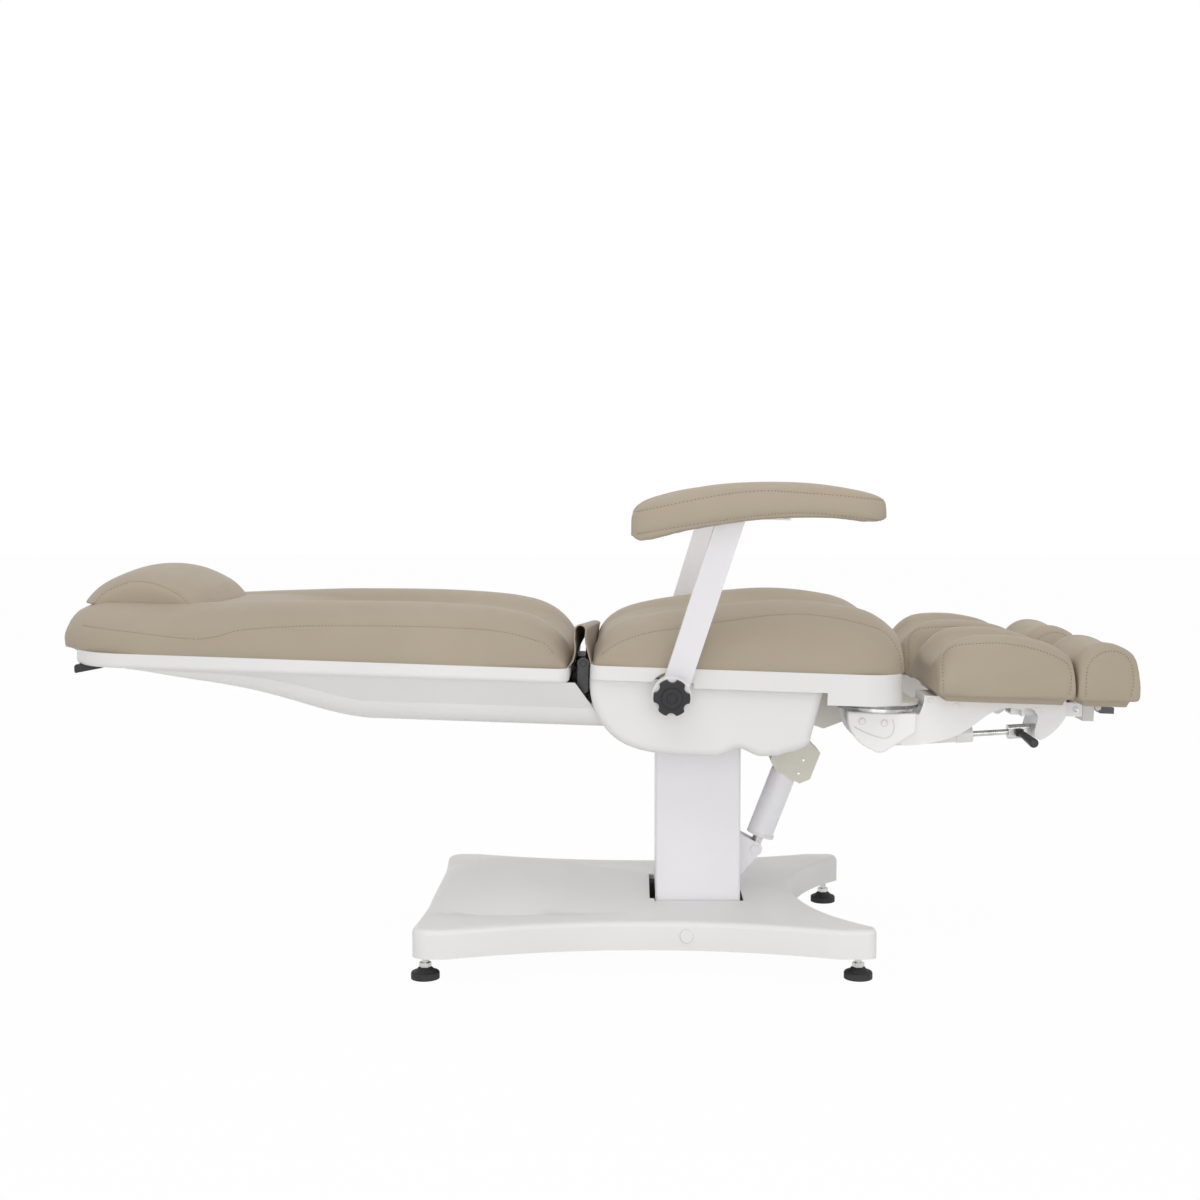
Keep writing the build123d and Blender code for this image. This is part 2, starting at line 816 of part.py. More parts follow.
def tilt_clevis():
    root = sleeve_foot_x
    plate = eye_plate(tilt_pin_x, tilt_pin_z, tilt_eye_radius,
                      [(root, clevis_foot_low_z), (root + tilt_eye_radius / 2, clevis_foot_low_z),
                       (tilt_pin_x + tilt_eye_radius / 2, tilt_pin_z - tilt_eye_radius * clevis_low_share),
                       (tilt_pin_x, tilt_pin_z + tilt_eye_radius * clevis_high_share),
                       (root, clevis_foot_high_z)])
    ears = None
    for sign in (1, -1):
        near = tilt_eye_half_width + slide_gap
        low, high = sorted((sign * near, sign * (near + clevis_ear)))
        ear = across(plate, low, high)
        ears = ear if ears is None else ears + ear
    web = block(root, root + clevis_ear, -tilt_eye_half_width - slide_gap,
                tilt_eye_half_width + slide_gap, clevis_foot_low_z, clevis_foot_low_z + tilt_eye_radius)
    half_length = tilt_eye_half_width + clevis_ear + tilt_pin_radius / 2
    return ears + web + bar_y(tilt_pin_radius, tilt_pin_x, tilt_pin_z, -half_length, half_length)


def tilt_frame():
    return along(tilt_pin_x, tilt_pin_z, tilt_top_x, tilt_top_z)


def tilt_reach():
    return math.hypot(tilt_top_x - tilt_pin_x, tilt_top_z - tilt_pin_z)


def tilt_rod():
    eye = bar_y(tilt_eye_radius - slide_gap, tilt_pin_x, tilt_pin_z, -tilt_eye_half_width, tilt_eye_half_width)
    rod = Cylinder(tilt_rod_radius, tilt_tube_end, align=standing)
    piece = eye + tilt_frame() * rod
    return piece - bar_y(tilt_pin_radius + running_gap, tilt_pin_x, tilt_pin_z, -overrun, overrun)


def tilt_tube():
    length = tilt_tube_end - tilt_tube_start
    bore_radius = tilt_tube_radius - tilt_tube_wall
    outer = Pos(0, 0, tilt_tube_start) * Cylinder(tilt_tube_radius, length, align=standing)
    bore = Pos(0, 0, tilt_tube_start + 2 * tilt_tube_wall) * Cylinder(bore_radius, length, align=standing)
    mouth = Cylinder(tilt_rod_radius + running_gap, tilt_tube_end, align=standing)
    tube = outer - bore - mouth
    return tilt_frame() * tube


def tilt_motor():
    """Gear housing of the tilt actuator, cut on the slant below like the real one, with its top eye."""
    start = tilt_tube_end
    head = tilt_box_head_side
    foot = tilt_box_foot_side
    slant = tilt_slant_length
    neck_half = tilt_neck_half_width
    outline = [(-head, start + slant), (-head + slant, start), (foot - slant, start - slant / 2),
               (foot, start + slant / 2), (foot, tilt_box_end - slant), (neck_half, tilt_box_end),
               (-neck_half, tilt_box_end), (-head, tilt_box_end - slant)]
    housing = side_polygon(outline)
    neck = side_polygon([(-neck_half, tilt_box_end - slant), (neck_half, tilt_box_end - slant),
                         (neck_half, tilt_reach()), (-neck_half, tilt_reach())])
    eye = Pos(0, 0, tilt_reach()) * Rot(quarter_turn, 0, 0) * Circle(tilt_neck_radius)
    body = across(housing, -tilt_box_half_width, tilt_box_half_width)
    body += across(neck + eye, -neck_half, neck_half)
    body -= Cylinder(tilt_tube_radius + running_gap, tilt_tube_end + slide_gap, align=standing)
    body -= bar_y(anchor_pin_radius + tilt_open_gap, 0, tilt_reach(), -overrun, overrun)
    lean = math.degrees(math.atan2(tilt_top_x - tilt_pin_x, tilt_top_z - tilt_pin_z))
    return Pos(tilt_pin_x, 0, tilt_pin_z) * Rot(0, lean, 0) * body


# Seat

def bowl_face(shrink):
    """Side view of the moulded bowl under the seat, or of the hollow inside its wall."""
    rear_x = seat_rear_x + shrink
    front_x = bowl_front_x - shrink
    depth = rim_low_z - bowl_bottom_z - shrink

    def points(along_shares, depth_shares):
        places = zip(along_shares, depth_shares)
        return [(rear_x + a * (front_x - rear_x), rim_low_z - d * depth) for a, d in places]

    heel = points(bowl_along_shares, bowl_depth_shares)
    arch = points(bowl_arch_along_shares, bowl_arch_depth_shares)
    nose = points(bowl_nose_along_shares, bowl_nose_depth_shares)
    front_top = (front_x, rim_low_z)
    return side_face(Spline(*side_points(heel)), Line(*side_points([heel[-1], arch[0]])),
                     Spline(*side_points(arch)), Line(*side_points([arch[-1], nose[0]])),
                     Spline(*side_points(nose)), Line(*side_points([nose[-1], front_top])),
                     Line(*side_points([front_top, heel[0]])))


def bowl_solid(shrink, half_width, edge_radius):
    """The bowl's filled shape with its lower edges rounded."""
    bowl = across(bowl_face(shrink), -half_width, half_width)
    rim_z = bowl.bounding_box().max.Z
    side_edges = [edge for face in (bowl.faces().sort_by(Axis.Y)[0], bowl.faces().sort_by(Axis.Y)[-1])
                  for edge in face.edges() if edge.center().Z < rim_z - running_gap]
    return fillet(side_edges, edge_radius)


def seat_outline(inset):
    """Plan of the seat shell's rim, or of a line that far inside it."""
    return plan_rectangle(seat_rear_x + inset, seat_front_x - inset, seat_half_width - inset,
                          rim_rear_corner - inset, rim_front_corner - inset)


def rim_band(x_low, x_high, z_low, z_high):
    """The part of the rim's outline wall that lies in one stretch."""
    outline = seat_outline(0)
    wall = outline - offset(outline, -rim_wall)
    stretch = block(x_low, x_high, -seat_half_width, seat_half_width, z_low, z_high)
    return upwards(wall, z_low, z_high) & stretch


def seat_shell():
    shell = upwards(seat_outline(0), rim_low_z, rim_low_z + plastic_wall)
    shell += rim_band(seat_rear_x, seat_front_x, rim_low_z, rim_top_z)
    shell += rim_band(arm_x + hub_notch_radius, seat_front_x, rim_side_low_z, rim_low_z)
    shell += rim_band(rim_deep_x, seat_front_x, rim_front_low_z, rim_side_low_z)
    bowl = bowl_solid(0, bowl_half_width, bowl_edge)
    shell += bowl - bowl_solid(plastic_wall, bowl_half_width - plastic_wall, bowl_edge - plastic_wall)
    well_x = sleeve_head_x - column_well_gap - overrun / 2
    shell -= block(well_x, actuator_well_x, -column_well_half_width, column_well_half_width,
                   bowl_bottom_z - overrun, rim_low_z - sheet_steel)
    shell -= block(actuator_well_x, bowl_front_x + overrun, -actuator_well_half_width, actuator_well_half_width,
                   bowl_bottom_z - overrun, rim_low_z - sheet_steel)
    shell -= block(seat_rear_x - overrun, well_x, -rod_slot_half_width, rod_slot_half_width,
                   bowl_bottom_z + overrun, rim_low_z - slide_gap)
    for sign in (1, -1):
        rail_slot = sorted((sign * (rail_inner_y - slide_gap), sign * (rail_inner_y + rail_width + slide_gap)))
        shell -= block(bowl_front_x - overrun, bowl_front_x + overrun, *rail_slot, rail_bottom_z - slide_gap,
                       rim_low_z - running_gap)
        notch_y = seat_half_width - 2 * rim_wall
        notch = sorted((sign * notch_y, sign * 2 * seat_half_width))
        shell -= bar_y(hub_notch_radius, arm_x, arm_z, *notch)
        shell -= bar_y(arm_stub_radius + slide_gap, arm_x, arm_z, *sorted((0, sign * seat_half_width)))
        slot = sorted((sign * (hinge_inner_y - hinge_slot_gap),
                       sign * (hinge_inner_y + hinge_plate + hinge_slot_gap)))
        shell -= block(seat_rear_x - overrun, seat_rail_rear_x, *slot, rail_bottom_z - sheet_steel,
                       rim_low_z - slide_gap)
    return shell


def seat_lug():
    top = rail_bottom_z
    return eye_plate(tilt_x, tilt_z, lug_radius,
                     [(tilt_x - lug_top_half_length, top), (tilt_x + lug_top_half_length, top),
                      (tilt_x + lug_radius, tilt_z), (tilt_x - lug_radius, tilt_z)])


def anchor_ear_face():
    return eye_plate(back_anchor_x, back_anchor_z, anchor_radius,
                     [(back_anchor_x - anchor_radius, rail_bottom_z),
                      (seat_rail_rear_x + seat_bar_width, rail_bottom_z),
                      (back_anchor_x + anchor_radius, back_anchor_z),
                      (back_anchor_x - anchor_radius, back_anchor_z)])


def seat_frame():
    top = rail_bottom_z + rail_height
    frame = None
    for sign in (1, -1):
        low, high = sorted((sign * rail_inner_y, sign * (rail_inner_y + rail_width)))
        rail = block(seat_rail_rear_x, seat_rail_front_x, low, high, rail_bottom_z, top)
        frame = rail if frame is None else frame + rail
    reaches = (hinge_inner_y + hinge_plate, arm_stub_inner_y + arm_stub_radius, rail_inner_y + rail_width,
               rail_inner_y + rail_width)
    for start, reach in zip(seat_bar_starts, reaches):
        frame += block(start, start + seat_bar_width, -reach, reach, rail_bottom_z, top)
    for sign in (1, -1):
        low, high = sorted((sign * rail_inner_y, sign * (rail_inner_y + lug_thickness)))
        frame += across(seat_lug(), low, high)
        low, high = sorted((sign * anchor_ear_inner_y, sign * (anchor_ear_inner_y + anchor_ear)))
        frame += across(anchor_ear_face(), low, high)
        tip = back_eye_half_width + anchor_pin_gap
        root = anchor_ear_inner_y + anchor_ear
        frame += bar_y(anchor_pin_radius, back_anchor_x, back_anchor_z, *sorted((sign * tip, sign * root)))
        frame -= bar_y(arm_stub_radius, arm_x, arm_z, *sorted((sign * arm_stub_inner_y, sign * seat_half_width)))
    return frame - bar_y(shaft_radius + running_gap, tilt_x, tilt_z, -seat_half_width, seat_half_width)


def seat_cushion():
    shares = (seat_along_shares, seat_crest_shares, seat_valley_shares, seat_width_shares)
    body = cushion(seat_cushion_rear_x, seat_cushion_front_x, 0, cushion_half_width, cushion_base_half_width,
                   seat_cushion_base_z, seat_crest_height, shares)
    inset = rim_wall + soft_gap
    return seated_cushion(body, seat_outline(inset), seat_cushion_base_z, rim_top_z + soft_gap)


def arm_stubs():
    stubs = []
    for sign in (1, -1):
        stub = bar_y(arm_stub_radius, arm_x, arm_z, *sorted((sign * arm_stub_inner_y, sign * arm_hub_outer_y)))
        thread_end = arm_hub_outer_y + knob_thickness - knob_cap
        stub += bar_y(arm_thread_radius, arm_x, arm_z, *sorted((sign * arm_hub_outer_y, sign * thread_end)))
        stubs.append(stub)
    return Compound(stubs)


def front_beam():
    top = rail_bottom_z
    outline = side_polygon([(beam_rear_x, top), (beam_rear_x, beam_rear_z), (beam_heel_x, beam_heel_z),
                            (beam_front_x, beam_front_z), (beam_front_x, top)])
    inner_top = top - beam_top
    inner_front = beam_front_x - beam_wall
    cavity = side_polygon([(beam_rear_x - overrun, inner_top), (beam_rear_x - overrun, beam_rear_z - overrun),
                           (beam_heel_x - beam_wall, beam_heel_z - overrun),
                           (beam_heel_x, beam_heel_z + beam_wall),
                           (inner_front, beam_front_z + beam_wall), (inner_front, inner_top)])
    beam = across(outline, -beam_half_width, beam_half_width)
    beam -= across(cavity, -beam_half_width + beam_wall, beam_half_width - beam_wall)
    beam += block(arm_plate_rear_x, beam_front_x, -swivel_y, swivel_y, inner_top, top)
    for sign in (1, -1):
        beam += bar_z(swivel_radius, swivel_x, sign * swivel_y, inner_top, top)
    pin = bar_y(anchor_pin_radius, *level_point(tilt_top_x, tilt_top_z), -beam_half_width - beam_wall,
                beam_half_width + beam_wall)
    return beam + pin


def level_point(x, z):
    """Where a point of the leaning chair lies in the level drawing."""
    angle = math.radians(rest_tilt)
    across_x = x - tilt_x
    up = z - tilt_z
    level_x = tilt_x + across_x * math.cos(angle) - up * math.sin(angle)
    return level_x, tilt_z + across_x * math.sin(angle) + up * math.cos(angle)


def swivel_rings():
    top = rail_bottom_z - beam_top
    low = top - swivel_plate
    rings = [bar_z(swivel_radius, swivel_x, side * swivel_y, low, top) for side in (1, -1)]
    return Compound(rings)


def hinge_brackets():
    """Seat half of the backrest hinge: two cranked plates, each with its pin."""
    low = hinge_z - hinge_drop
    outline = eye_plate(hinge_x, hinge_z, hinge_eye_radius,
                        [(hinge_x - hinge_strip / 2, low), (seat_rail_rear_x, low),
                         (seat_rail_rear_x, low + hinge_foot), (hinge_x + hinge_strip / 2, low + hinge_foot),
                         (hinge_x + hinge_strip / 2, hinge_z), (hinge_x - hinge_strip / 2, hinge_z)])
    brackets = []
    for sign in (1, -1):
        near, far = sign * hinge_inner_y, sign * (hinge_inner_y + hinge_plate)
        pin_end = sign * (hinge_inner_y + 2 * hinge_plate + slide_gap)
        bracket = across(outline, *sorted((near, far)))
        bracket += bar_y(hinge_pin_radius, hinge_x, hinge_z, *sorted((far, pin_end)))
        brackets.append(bracket)
    return Compound(brackets)


def hinge_flap():
    """A folded strip of upholstery that stands over the hinge between seat and backrest."""
    foot_z = back_rim_top_z + flap_thickness
    crown = flap_crown_z
    middle = flap_crown_x
    half = flap_crown_half_width
    rise = crown - foot_z
    outer = [(flap_left_x, foot_z), (middle - flap_left_swell, foot_z + rise * flap_left_share),
             (middle - half, crown - half)]
    inner = [(flap_right_x, rim_top_z + soft_gap), (middle + flap_right_swell, foot_z + rise * flap_right_share),
             (middle + half, crown - half)]
    wall = flap_thickness
    inner_left = [(x + wall, z) for x, z in outer]
    inner_right = [(x - wall, z) for x, z in inner]
    face = side_face(Spline(*side_points(outer)),
                     ThreePointArc(*side_points([outer[-1], (middle, crown), inner[-1]])),
                     Spline(*side_points(inner)),
                     Line(*side_points([inner[0], inner_right[0]])),
                     Spline(*side_points(inner_right)),
                     ThreePointArc(*side_points([inner_right[-1], (middle, crown - wall), inner_left[-1]])),
                     Spline(*side_points(inner_left)),
                     Line(*side_points([inner_left[0], outer[0]])))
    return across(face, -flap_half_width, flap_half_width)


# Backrest

def casing_section(x, low_z, half_top, half_low, corner, top_z):
    """A trough section: sides that draw in downwards and rounded lower corners."""
    depth = top_z - low_z
    corner = min(corner, depth * casing_corner_share)
    low_y = half_low - corner

    def point(y, z):
        return (x, y, z)

    roof = Line(point(half_top, top_z), point(-half_top, top_z))
    floor = Line(point(-low_y, low_z), point(low_y, low_z))
    edges = [roof, floor]
    for sign in (1, -1):
        edges.append(Line(point(sign * half_top, top_z), point(sign * half_low, low_z + corner)))
        knee_y = low_y + corner * math.sqrt(edge_share * 2)
        knee_z = low_z + corner * (1 - math.sqrt(edge_share * 2))
        edges.append(ThreePointArc(point(sign * half_low, low_z + corner), point(sign * knee_y, knee_z),
                                   point(sign * low_y, low_z)))
    return make_face(edges)


def casing(shrink, top_z):
    """The long bulge under the backrest that holds its frame and actuator."""
    depth = back_rim_low_z - casing_low_z
    draw_in = casing_top_half_width - casing_low_half_width
    half_top = casing_top_half_width - shrink

    def section(x, depth_share):
        half_low = half_top - draw_in * depth_share
        low_z = back_rim_low_z - depth * depth_share + shrink
        return casing_section(x + shrink, low_z, half_top, half_low, casing_corner, top_z)

    sections = []
    for along_share, depth_share in zip(casing_along_shares, casing_depth_shares):
        sections.append(section(casing_head_x + along_share * (casing_flat_x - casing_head_x), depth_share))
    bulge = loft(sections)
    end = section(casing_flat_x, 1)
    reach = casing_foot_low_x - casing_flat_x + overrun
    return bulge + extrude(end, amount=reach, dir=(1, 0, 0))


def back_shell():
    outline = plan_rectangle(back_head_x, back_hinge_x, seat_half_width, back_head_corner, back_hinge_corner)
    tray = upwards(outline, back_rim_low_z, back_rim_top_z)
    tray = fillet(tray.faces().sort_by(Axis.Z)[0].edges(), plastic_wall * 2)
    tray -= upwards(offset(outline, -rim_wall), back_rim_low_z + plastic_wall, back_rim_top_z + overrun)
    window = plan_rectangle(casing_head_x, back_hinge_x - back_hinge_corner, back_rail_inner_y,
                            back_hinge_corner, back_hinge_corner)
    tray -= upwards(window, back_rim_low_z - overrun, back_rim_low_z + plastic_wall + slide_gap)
    wall_top_z = back_rim_low_z + slide_gap
    shell = tray + (casing(0, wall_top_z) - casing(plastic_wall, wall_top_z + plastic_wall / 2))
    beyond_x = casing_foot_low_x + 2 * overrun
    slope = side_polygon([(casing_foot_top_x, back_rim_low_z),
                          (casing_foot_low_x, casing_low_z - casing_foot_drop),
                          (beyond_x, casing_low_z - overrun), (beyond_x, back_rim_top_z + overrun),
                          (casing_foot_top_x, back_rim_top_z + overrun)])
    shell -= across(slope, -seat_half_width, seat_half_width)
    shell -= block(back_rail_foot_x - back_bar_width, casing_foot_low_x + overrun, -back_slot_half_width,
                   back_slot_half_width, casing_low_z - overrun, casing_low_z + back_slot_rise)
    shell -= block(back_hinge_x - 2 * back_hinge_corner, back_hinge_x + overrun, -back_slot_half_width,
                   back_slot_half_width, casing_low_z + overrun, back_rim_top_z + overrun)
    for sign in (1, -1):
        near = hinge_inner_y - hinge_slot_gap
        far = hinge_inner_y + 2 * hinge_plate + hinge_slot_gap
        shell -= block(back_rail_foot_x - back_bar_width, overrun, *sorted((sign * near, sign * far)),
                       back_rail_low_z - hinge_slot_gap, back_rim_top_z - slide_gap - plastic_wall)
    return shell


def back_leaf():
    """Backrest half of the hinge."""
    low = back_rail_low_z
    return eye_plate(hinge_x, hinge_z, hinge_eye_radius,
                     [(hinge_x + hinge_strip / 2, hinge_z), (hinge_x - hinge_strip / 2, hinge_z),
                      (hinge_x - hinge_strip / 2, low + hinge_foot), (back_rail_foot_x, low + hinge_foot),
                      (back_rail_foot_x, low), (hinge_x, low),
                      (hinge_x + hinge_strip / 2, low + hinge_strip / 2)])


def back_frame():
    top = back_rim_low_z - slide_gap
    frame = None
    for sign in (1, -1):
        low, high = sorted((sign * back_rail_inner_y, sign * (back_rail_inner_y + back_rail_width)))
        rail = block(back_rail_head_x, back_rail_foot_x, low, high, head_board_low_z, top)
        rail += block(casing_flat_x, back_rail_foot_x, low, high, back_rail_low_z, top)
        frame = rail if frame is None else frame + rail
    leaf_far = hinge_inner_y + 2 * hinge_plate + slide_gap
    reach = back_rail_inner_y + back_rail_width
    for start in back_bar_starts:
        frame += block(start, start + back_bar_width, -reach, reach, head_board_low_z, top)
    for sign in (1, -1):
        frame += block(back_rail_foot_x - back_bar_width, back_rail_foot_x,
                       *sorted((sign * back_rail_inner_y, sign * leaf_far)), back_rail_low_z, top)
    for sign in (1, -1):
        near = hinge_inner_y + hinge_plate + slide_gap
        frame += across(back_leaf(), *sorted((sign * near, sign * leaf_far)))
        near, far = back_eye_half_width + slide_gap, back_eye_half_width + anchor_ear
        lug = eye_plate(back_pivot_x, back_pivot_z, anchor_radius,
                        [(back_pivot_x - back_lug_foot, top), (back_pivot_x + anchor_radius, top),
                         (back_pivot_x + anchor_radius, back_pivot_z),
                         (back_pivot_x - anchor_radius, back_pivot_z)])
        frame += across(lug, *sorted((sign * near, sign * far)))
    frame -= bar_y(hinge_pin_radius + running_gap, hinge_x, hinge_z, -seat_half_width, seat_half_width)
    pin_reach = back_eye_half_width + anchor_ear
    return frame + bar_y(anchor_pin_radius, back_pivot_x, back_pivot_z, -pin_reach, pin_reach)


def back_cushion():
    shares = (back_along_shares, back_crest_shares, back_valley_shares, back_width_shares)
    body = cushion(back_cushion_head_x, back_cushion_hinge_x, 0, cushion_half_width, cushion_base_half_width,
                   back_cushion_base_z, back_crest_height, shares)
    inset = rim_wall + soft_gap
    outline = plan_rectangle(back_head_x + inset, back_hinge_x - inset, seat_half_width - inset,
                             back_head_corner - rim_wall, back_hinge_corner - rim_wall)
    body = seated_cushion(body, outline, back_cushion_base_z, back_rim_top_z + soft_gap)
    body -= block(back_hinge_x - back_groove_length, back_hinge_x + overrun, -back_slot_half_width,
                  back_slot_half_width, back_cushion_base_z - overrun, back_cushion_base_z + back_groove_depth)
    recess_half_width = back_box_half_width + sheet_steel
    return body - block(back_pivot_x, back_pivot_x + back_box_end + overrun, -recess_half_width, recess_half_width,
                        back_cushion_base_z - overrun, back_cushion_base_z + back_recess_depth)


def head_pillow():
    """A plump head pillow: a lens in side view that thins towards both ends."""
    middle_x = (pillow_head_x + pillow_foot_x) / 2
    half_x = (pillow_foot_x - pillow_head_x) / 2
    sections = []
    for across_share, size_share in zip(pillow_across_shares, pillow_size_shares):
        y = across_share * pillow_half_length
        half = half_x * (pillow_end_share + (1 - pillow_end_share) * size_share)
        top = pillow_base_z + pillow_height * size_share
        edge_z = pillow_base_z + pillow_height * pillow_edge_share

        def point(x, z):
            return (middle_x + x, y, z)

        roof = ThreePointArc(point(-half, edge_z), point(0, top), point(half, edge_z))
        floor = ThreePointArc(point(half, edge_z), point(0, pillow_base_z), point(-half, edge_z))
        sections.append(make_face([roof, floor]))
    return loft(sections) - Pos(0, 0, strap_gap) * back_cushion() - pillow_strap()


def pillow_strap():
    """An elastic strap that runs from under the pillow over the head end of the cushion."""
    length = back_cushion_hinge_x - back_cushion_head_x
    knots = []
    for along_share, valley_share in zip(back_along_shares, back_valley_shares):
        if along_share <= strap_reach_share:
            knots.append((back_cushion_head_x + along_share * length,
                          back_cushion_base_z + back_crest_height * valley_share))
    outer = [(x - strap_thickness, z + strap_thickness) for x, z in knots]
    inner = [(x + overrun, z - overrun) for x, z in knots]
    tail_z = back_rim_top_z + strap_thickness
    face = side_face(Spline(*side_points(outer)),
                     Line(*side_points([outer[-1], inner[-1]])),
                     Polyline(*side_points(inner[::-1])),
                     Line(*side_points([inner[0], (inner[0][0], tail_z)])),
                     Line(*side_points([(inner[0][0], tail_z), (outer[0][0], tail_z)])),
                     Line(*side_points([(outer[0][0], tail_z), outer[0]])))
    strap = across(face, -strap_half_width, strap_half_width)
    for shift_x, shift_z in ((-strap_gap, 0), (0, strap_gap), (0, 0)):
        strap -= Pos(shift_x, 0, shift_z) * back_cushion()
    return strap


def handset_hook():
    """A small wedge under the head end that the wired handset hangs on."""
    top = back_rim_low_z
    tail = hook_head_x + hook_length
    face = side_polygon([(hook_head_x, top), (hook_head_x, top - hook_height),
                         (tail, top - hook_height * hook_thin_share), (tail, top)])
    return across(face, hook_y - hook_width / 2, hook_y + hook_width / 2)


# Backrest actuator

def back_frame_place():
    return along(back_pivot_x, back_pivot_z, back_anchor_x, back_anchor_z)


def back_reach():
    return math.hypot(back_anchor_x - back_pivot_x, back_anchor_z - back_pivot_z)


def back_motor():
    box = Box(2 * back_box_half_width, 2 * back_box_half_height, back_box_end - back_box_start, align=standing)
    gear = Pos(0, back_box_rise, back_box_start) * box
    gear = fillet(gear.edges().filter_by(Axis.Z), back_box_edge)
    neck = Box(2 * back_eye_half_width, 2 * back_eye_half_width, back_box_start, align=standing)
    tube = Pos(0, 0, back_box_end) * Cylinder(back_tube_radius, back_tube_end - back_box_end, align=standing)
    bore_radius = back_rod_radius + running_gap
    bore = Pos(0, 0, back_rod_start - overrun / 2) * Cylinder(bore_radius, back_reach(), align=standing)
    body = gear + neck + tube - bore
    piece = back_frame_place() * body
    piece += bar_y(back_eye_radius, back_pivot_x, back_pivot_z, -back_eye_half_width, back_eye_half_width)
    return piece - bar_y(anchor_pin_radius + running_gap, back_pivot_x, back_pivot_z, -overrun, overrun)


def back_rod():
    rod = Pos(0, 0, back_rod_start) * Cylinder(back_rod_radius, back_reach() - back_rod_start, align=standing)
    piece = back_frame_place() * rod
    return piece + bar_y(back_rod_radius + anchor_pin_gap, back_anchor_x, back_anchor_z, -back_eye_half_width,
                         back_eye_half_width)


# Armrests

def arm_side(shape, side):
    """Pieces are drawn for the far side and mirrored to the near one."""
    return shape if side > 0 else mirror(shape, Plane.XZ)


def arm_top():
    """Middle of the post's upper end."""
    lean = math.radians(arm_lean)
    return arm_x + post_length * math.sin(lean), arm_z + post_length * math.cos(lean)


def arm_post(side):
    middle_y = post_hub_y
    hub = bar_y(arm_hub_radius, arm_x, arm_z, arm_hub_inner_y, arm_hub_outer_y)
    top_x, top_z = arm_top()
    low_section = Pos(arm_x, middle_y, arm_z) * Rot(0, arm_lean, 0) * Rectangle(post_width, post_depth)
    top_section = Pos(top_x, middle_y + post_out, top_z) * Rot(0, arm_lean, 0) * Rectangle(post_width, post_depth)
    post = loft([low_section, top_section])
    post += hub
    plate_x = top_x - post_plate_length / 2
    plate_z = top_z - post_plate
    post -= block(arm_x, pad_front_x, 0, cover_half_width * 2, plate_z, top_z + post_width)
    plate = block(plate_x, plate_x + post_plate_length, pad_y - post_plate_width / 2, pad_y + post_plate_width / 2,
                  plate_z, top_z)
    post += plate
    return arm_side(post - bar_y(arm_stub_radius + running_gap, arm_x, arm_z, 0, cover_half_width * 2), side)


def pad_section(x, top_z, low_z, half):
    """A cross section of the arm pad with rolled edges."""
    edge_top = top_z - (top_z - low_z) * 0.25
    edge_low = low_z + (top_z - low_z) * 0.25
    inset = half * 0.86

    def point(y, z):
        return (x, pad_y + y, z)

    roof = ThreePointArc(point(-inset, edge_top + (top_z - edge_top) * 0.6), point(0, top_z),
                         point(inset, edge_top + (top_z - edge_top) * 0.6))
    floor = Line(point(inset, low_z), point(-inset, low_z))
    edges = [roof, floor]
    for sign in (1, -1):
        edges.append(ThreePointArc(point(sign * inset, edge_top + (top_z - edge_top) * 0.6),
                                   point(sign * half, (edge_top + edge_low) / 2), point(sign * inset, low_z)))
    return make_face(edges)


def arm_pad(side):
    sections = []
    for along_share, top_share, low_share, width_share in zip(pad_along_shares, pad_top_shares, pad_low_shares,
                                                              pad_width_shares):
        x = pad_rear_x + along_share * (pad_front_x - pad_rear_x)
        sections.append(pad_section(x, pad_low_z + pad_rise * top_share, pad_low_z + pad_rise * low_share,
                                    pad_half_width * width_share))
    pad = loft(sections)
    top_x, top_z = arm_top()
    pad -= block(pad_rear_x - overrun, pad_front_x + overrun, pad_y - post_plate_width / 2 - slide_gap,
                 pad_y + post_plate_width / 2 + slide_gap, pad_low_z - overrun, top_z)
    return arm_side(pad, side)


def arm_knob(side):
    outer = arm_hub_outer_y + slide_gap
    head = outer + knob_thickness
    star = bar_y(knob_radius, arm_x, arm_z, outer, head)
    for lobe in range(knob_lobes):
        angle = math.radians(360 / knob_lobes * lobe)
        star -= bar_y(knob_scoop_radius, arm_x + knob_scoop_place * math.sin(angle),
                      arm_z + knob_scoop_place * math.cos(angle), outer - overrun, head + overrun)
    star += bar_y(knob_cap_radius, arm_x, arm_z, head, head + knob_cap)
    return arm_side(star - bar_y(arm_thread_radius + running_gap, arm_x, arm_z, 0, head - knob_cap), side)


# Leg rests, drawn about the middle plane of one leg and then moved out to its side

def leg_side(shape, side):
    return Pos(0, side * swivel_y, 0) * arm_side(shape, side)


def hub_top_z():
    return rail_bottom_z - beam_top - swivel_plate - swivel_gap


def hub_face(rear_x, front_x, low_z, side_low_z, toe_x, top_z):
    """The D-shaped side view of a leg hub."""
    toe_half = (front_x - rear_x) / 9
    shoulder_z = low_z + (top_z - low_z) * 0.35
    return side_face(
        Line(*side_points([(rear_x, top_z), (front_x, top_z)])),
        Line(*side_points([(front_x, top_z), (front_x, side_low_z)])),
        Line(*side_points([(front_x, side_low_z), (toe_x + toe_half, low_z + toe_half / 3)])),
        ThreePointArc(*side_points([(toe_x + toe_half, low_z + toe_half / 3), (toe_x, low_z),
                                    (toe_x - toe_half, low_z + toe_half / 3)])),
        ThreePointArc(*side_points([(toe_x - toe_half, low_z + toe_half / 3),
                                    ((rear_x * 3 + toe_x) / 4, shoulder_z), (rear_x, top_z)])))


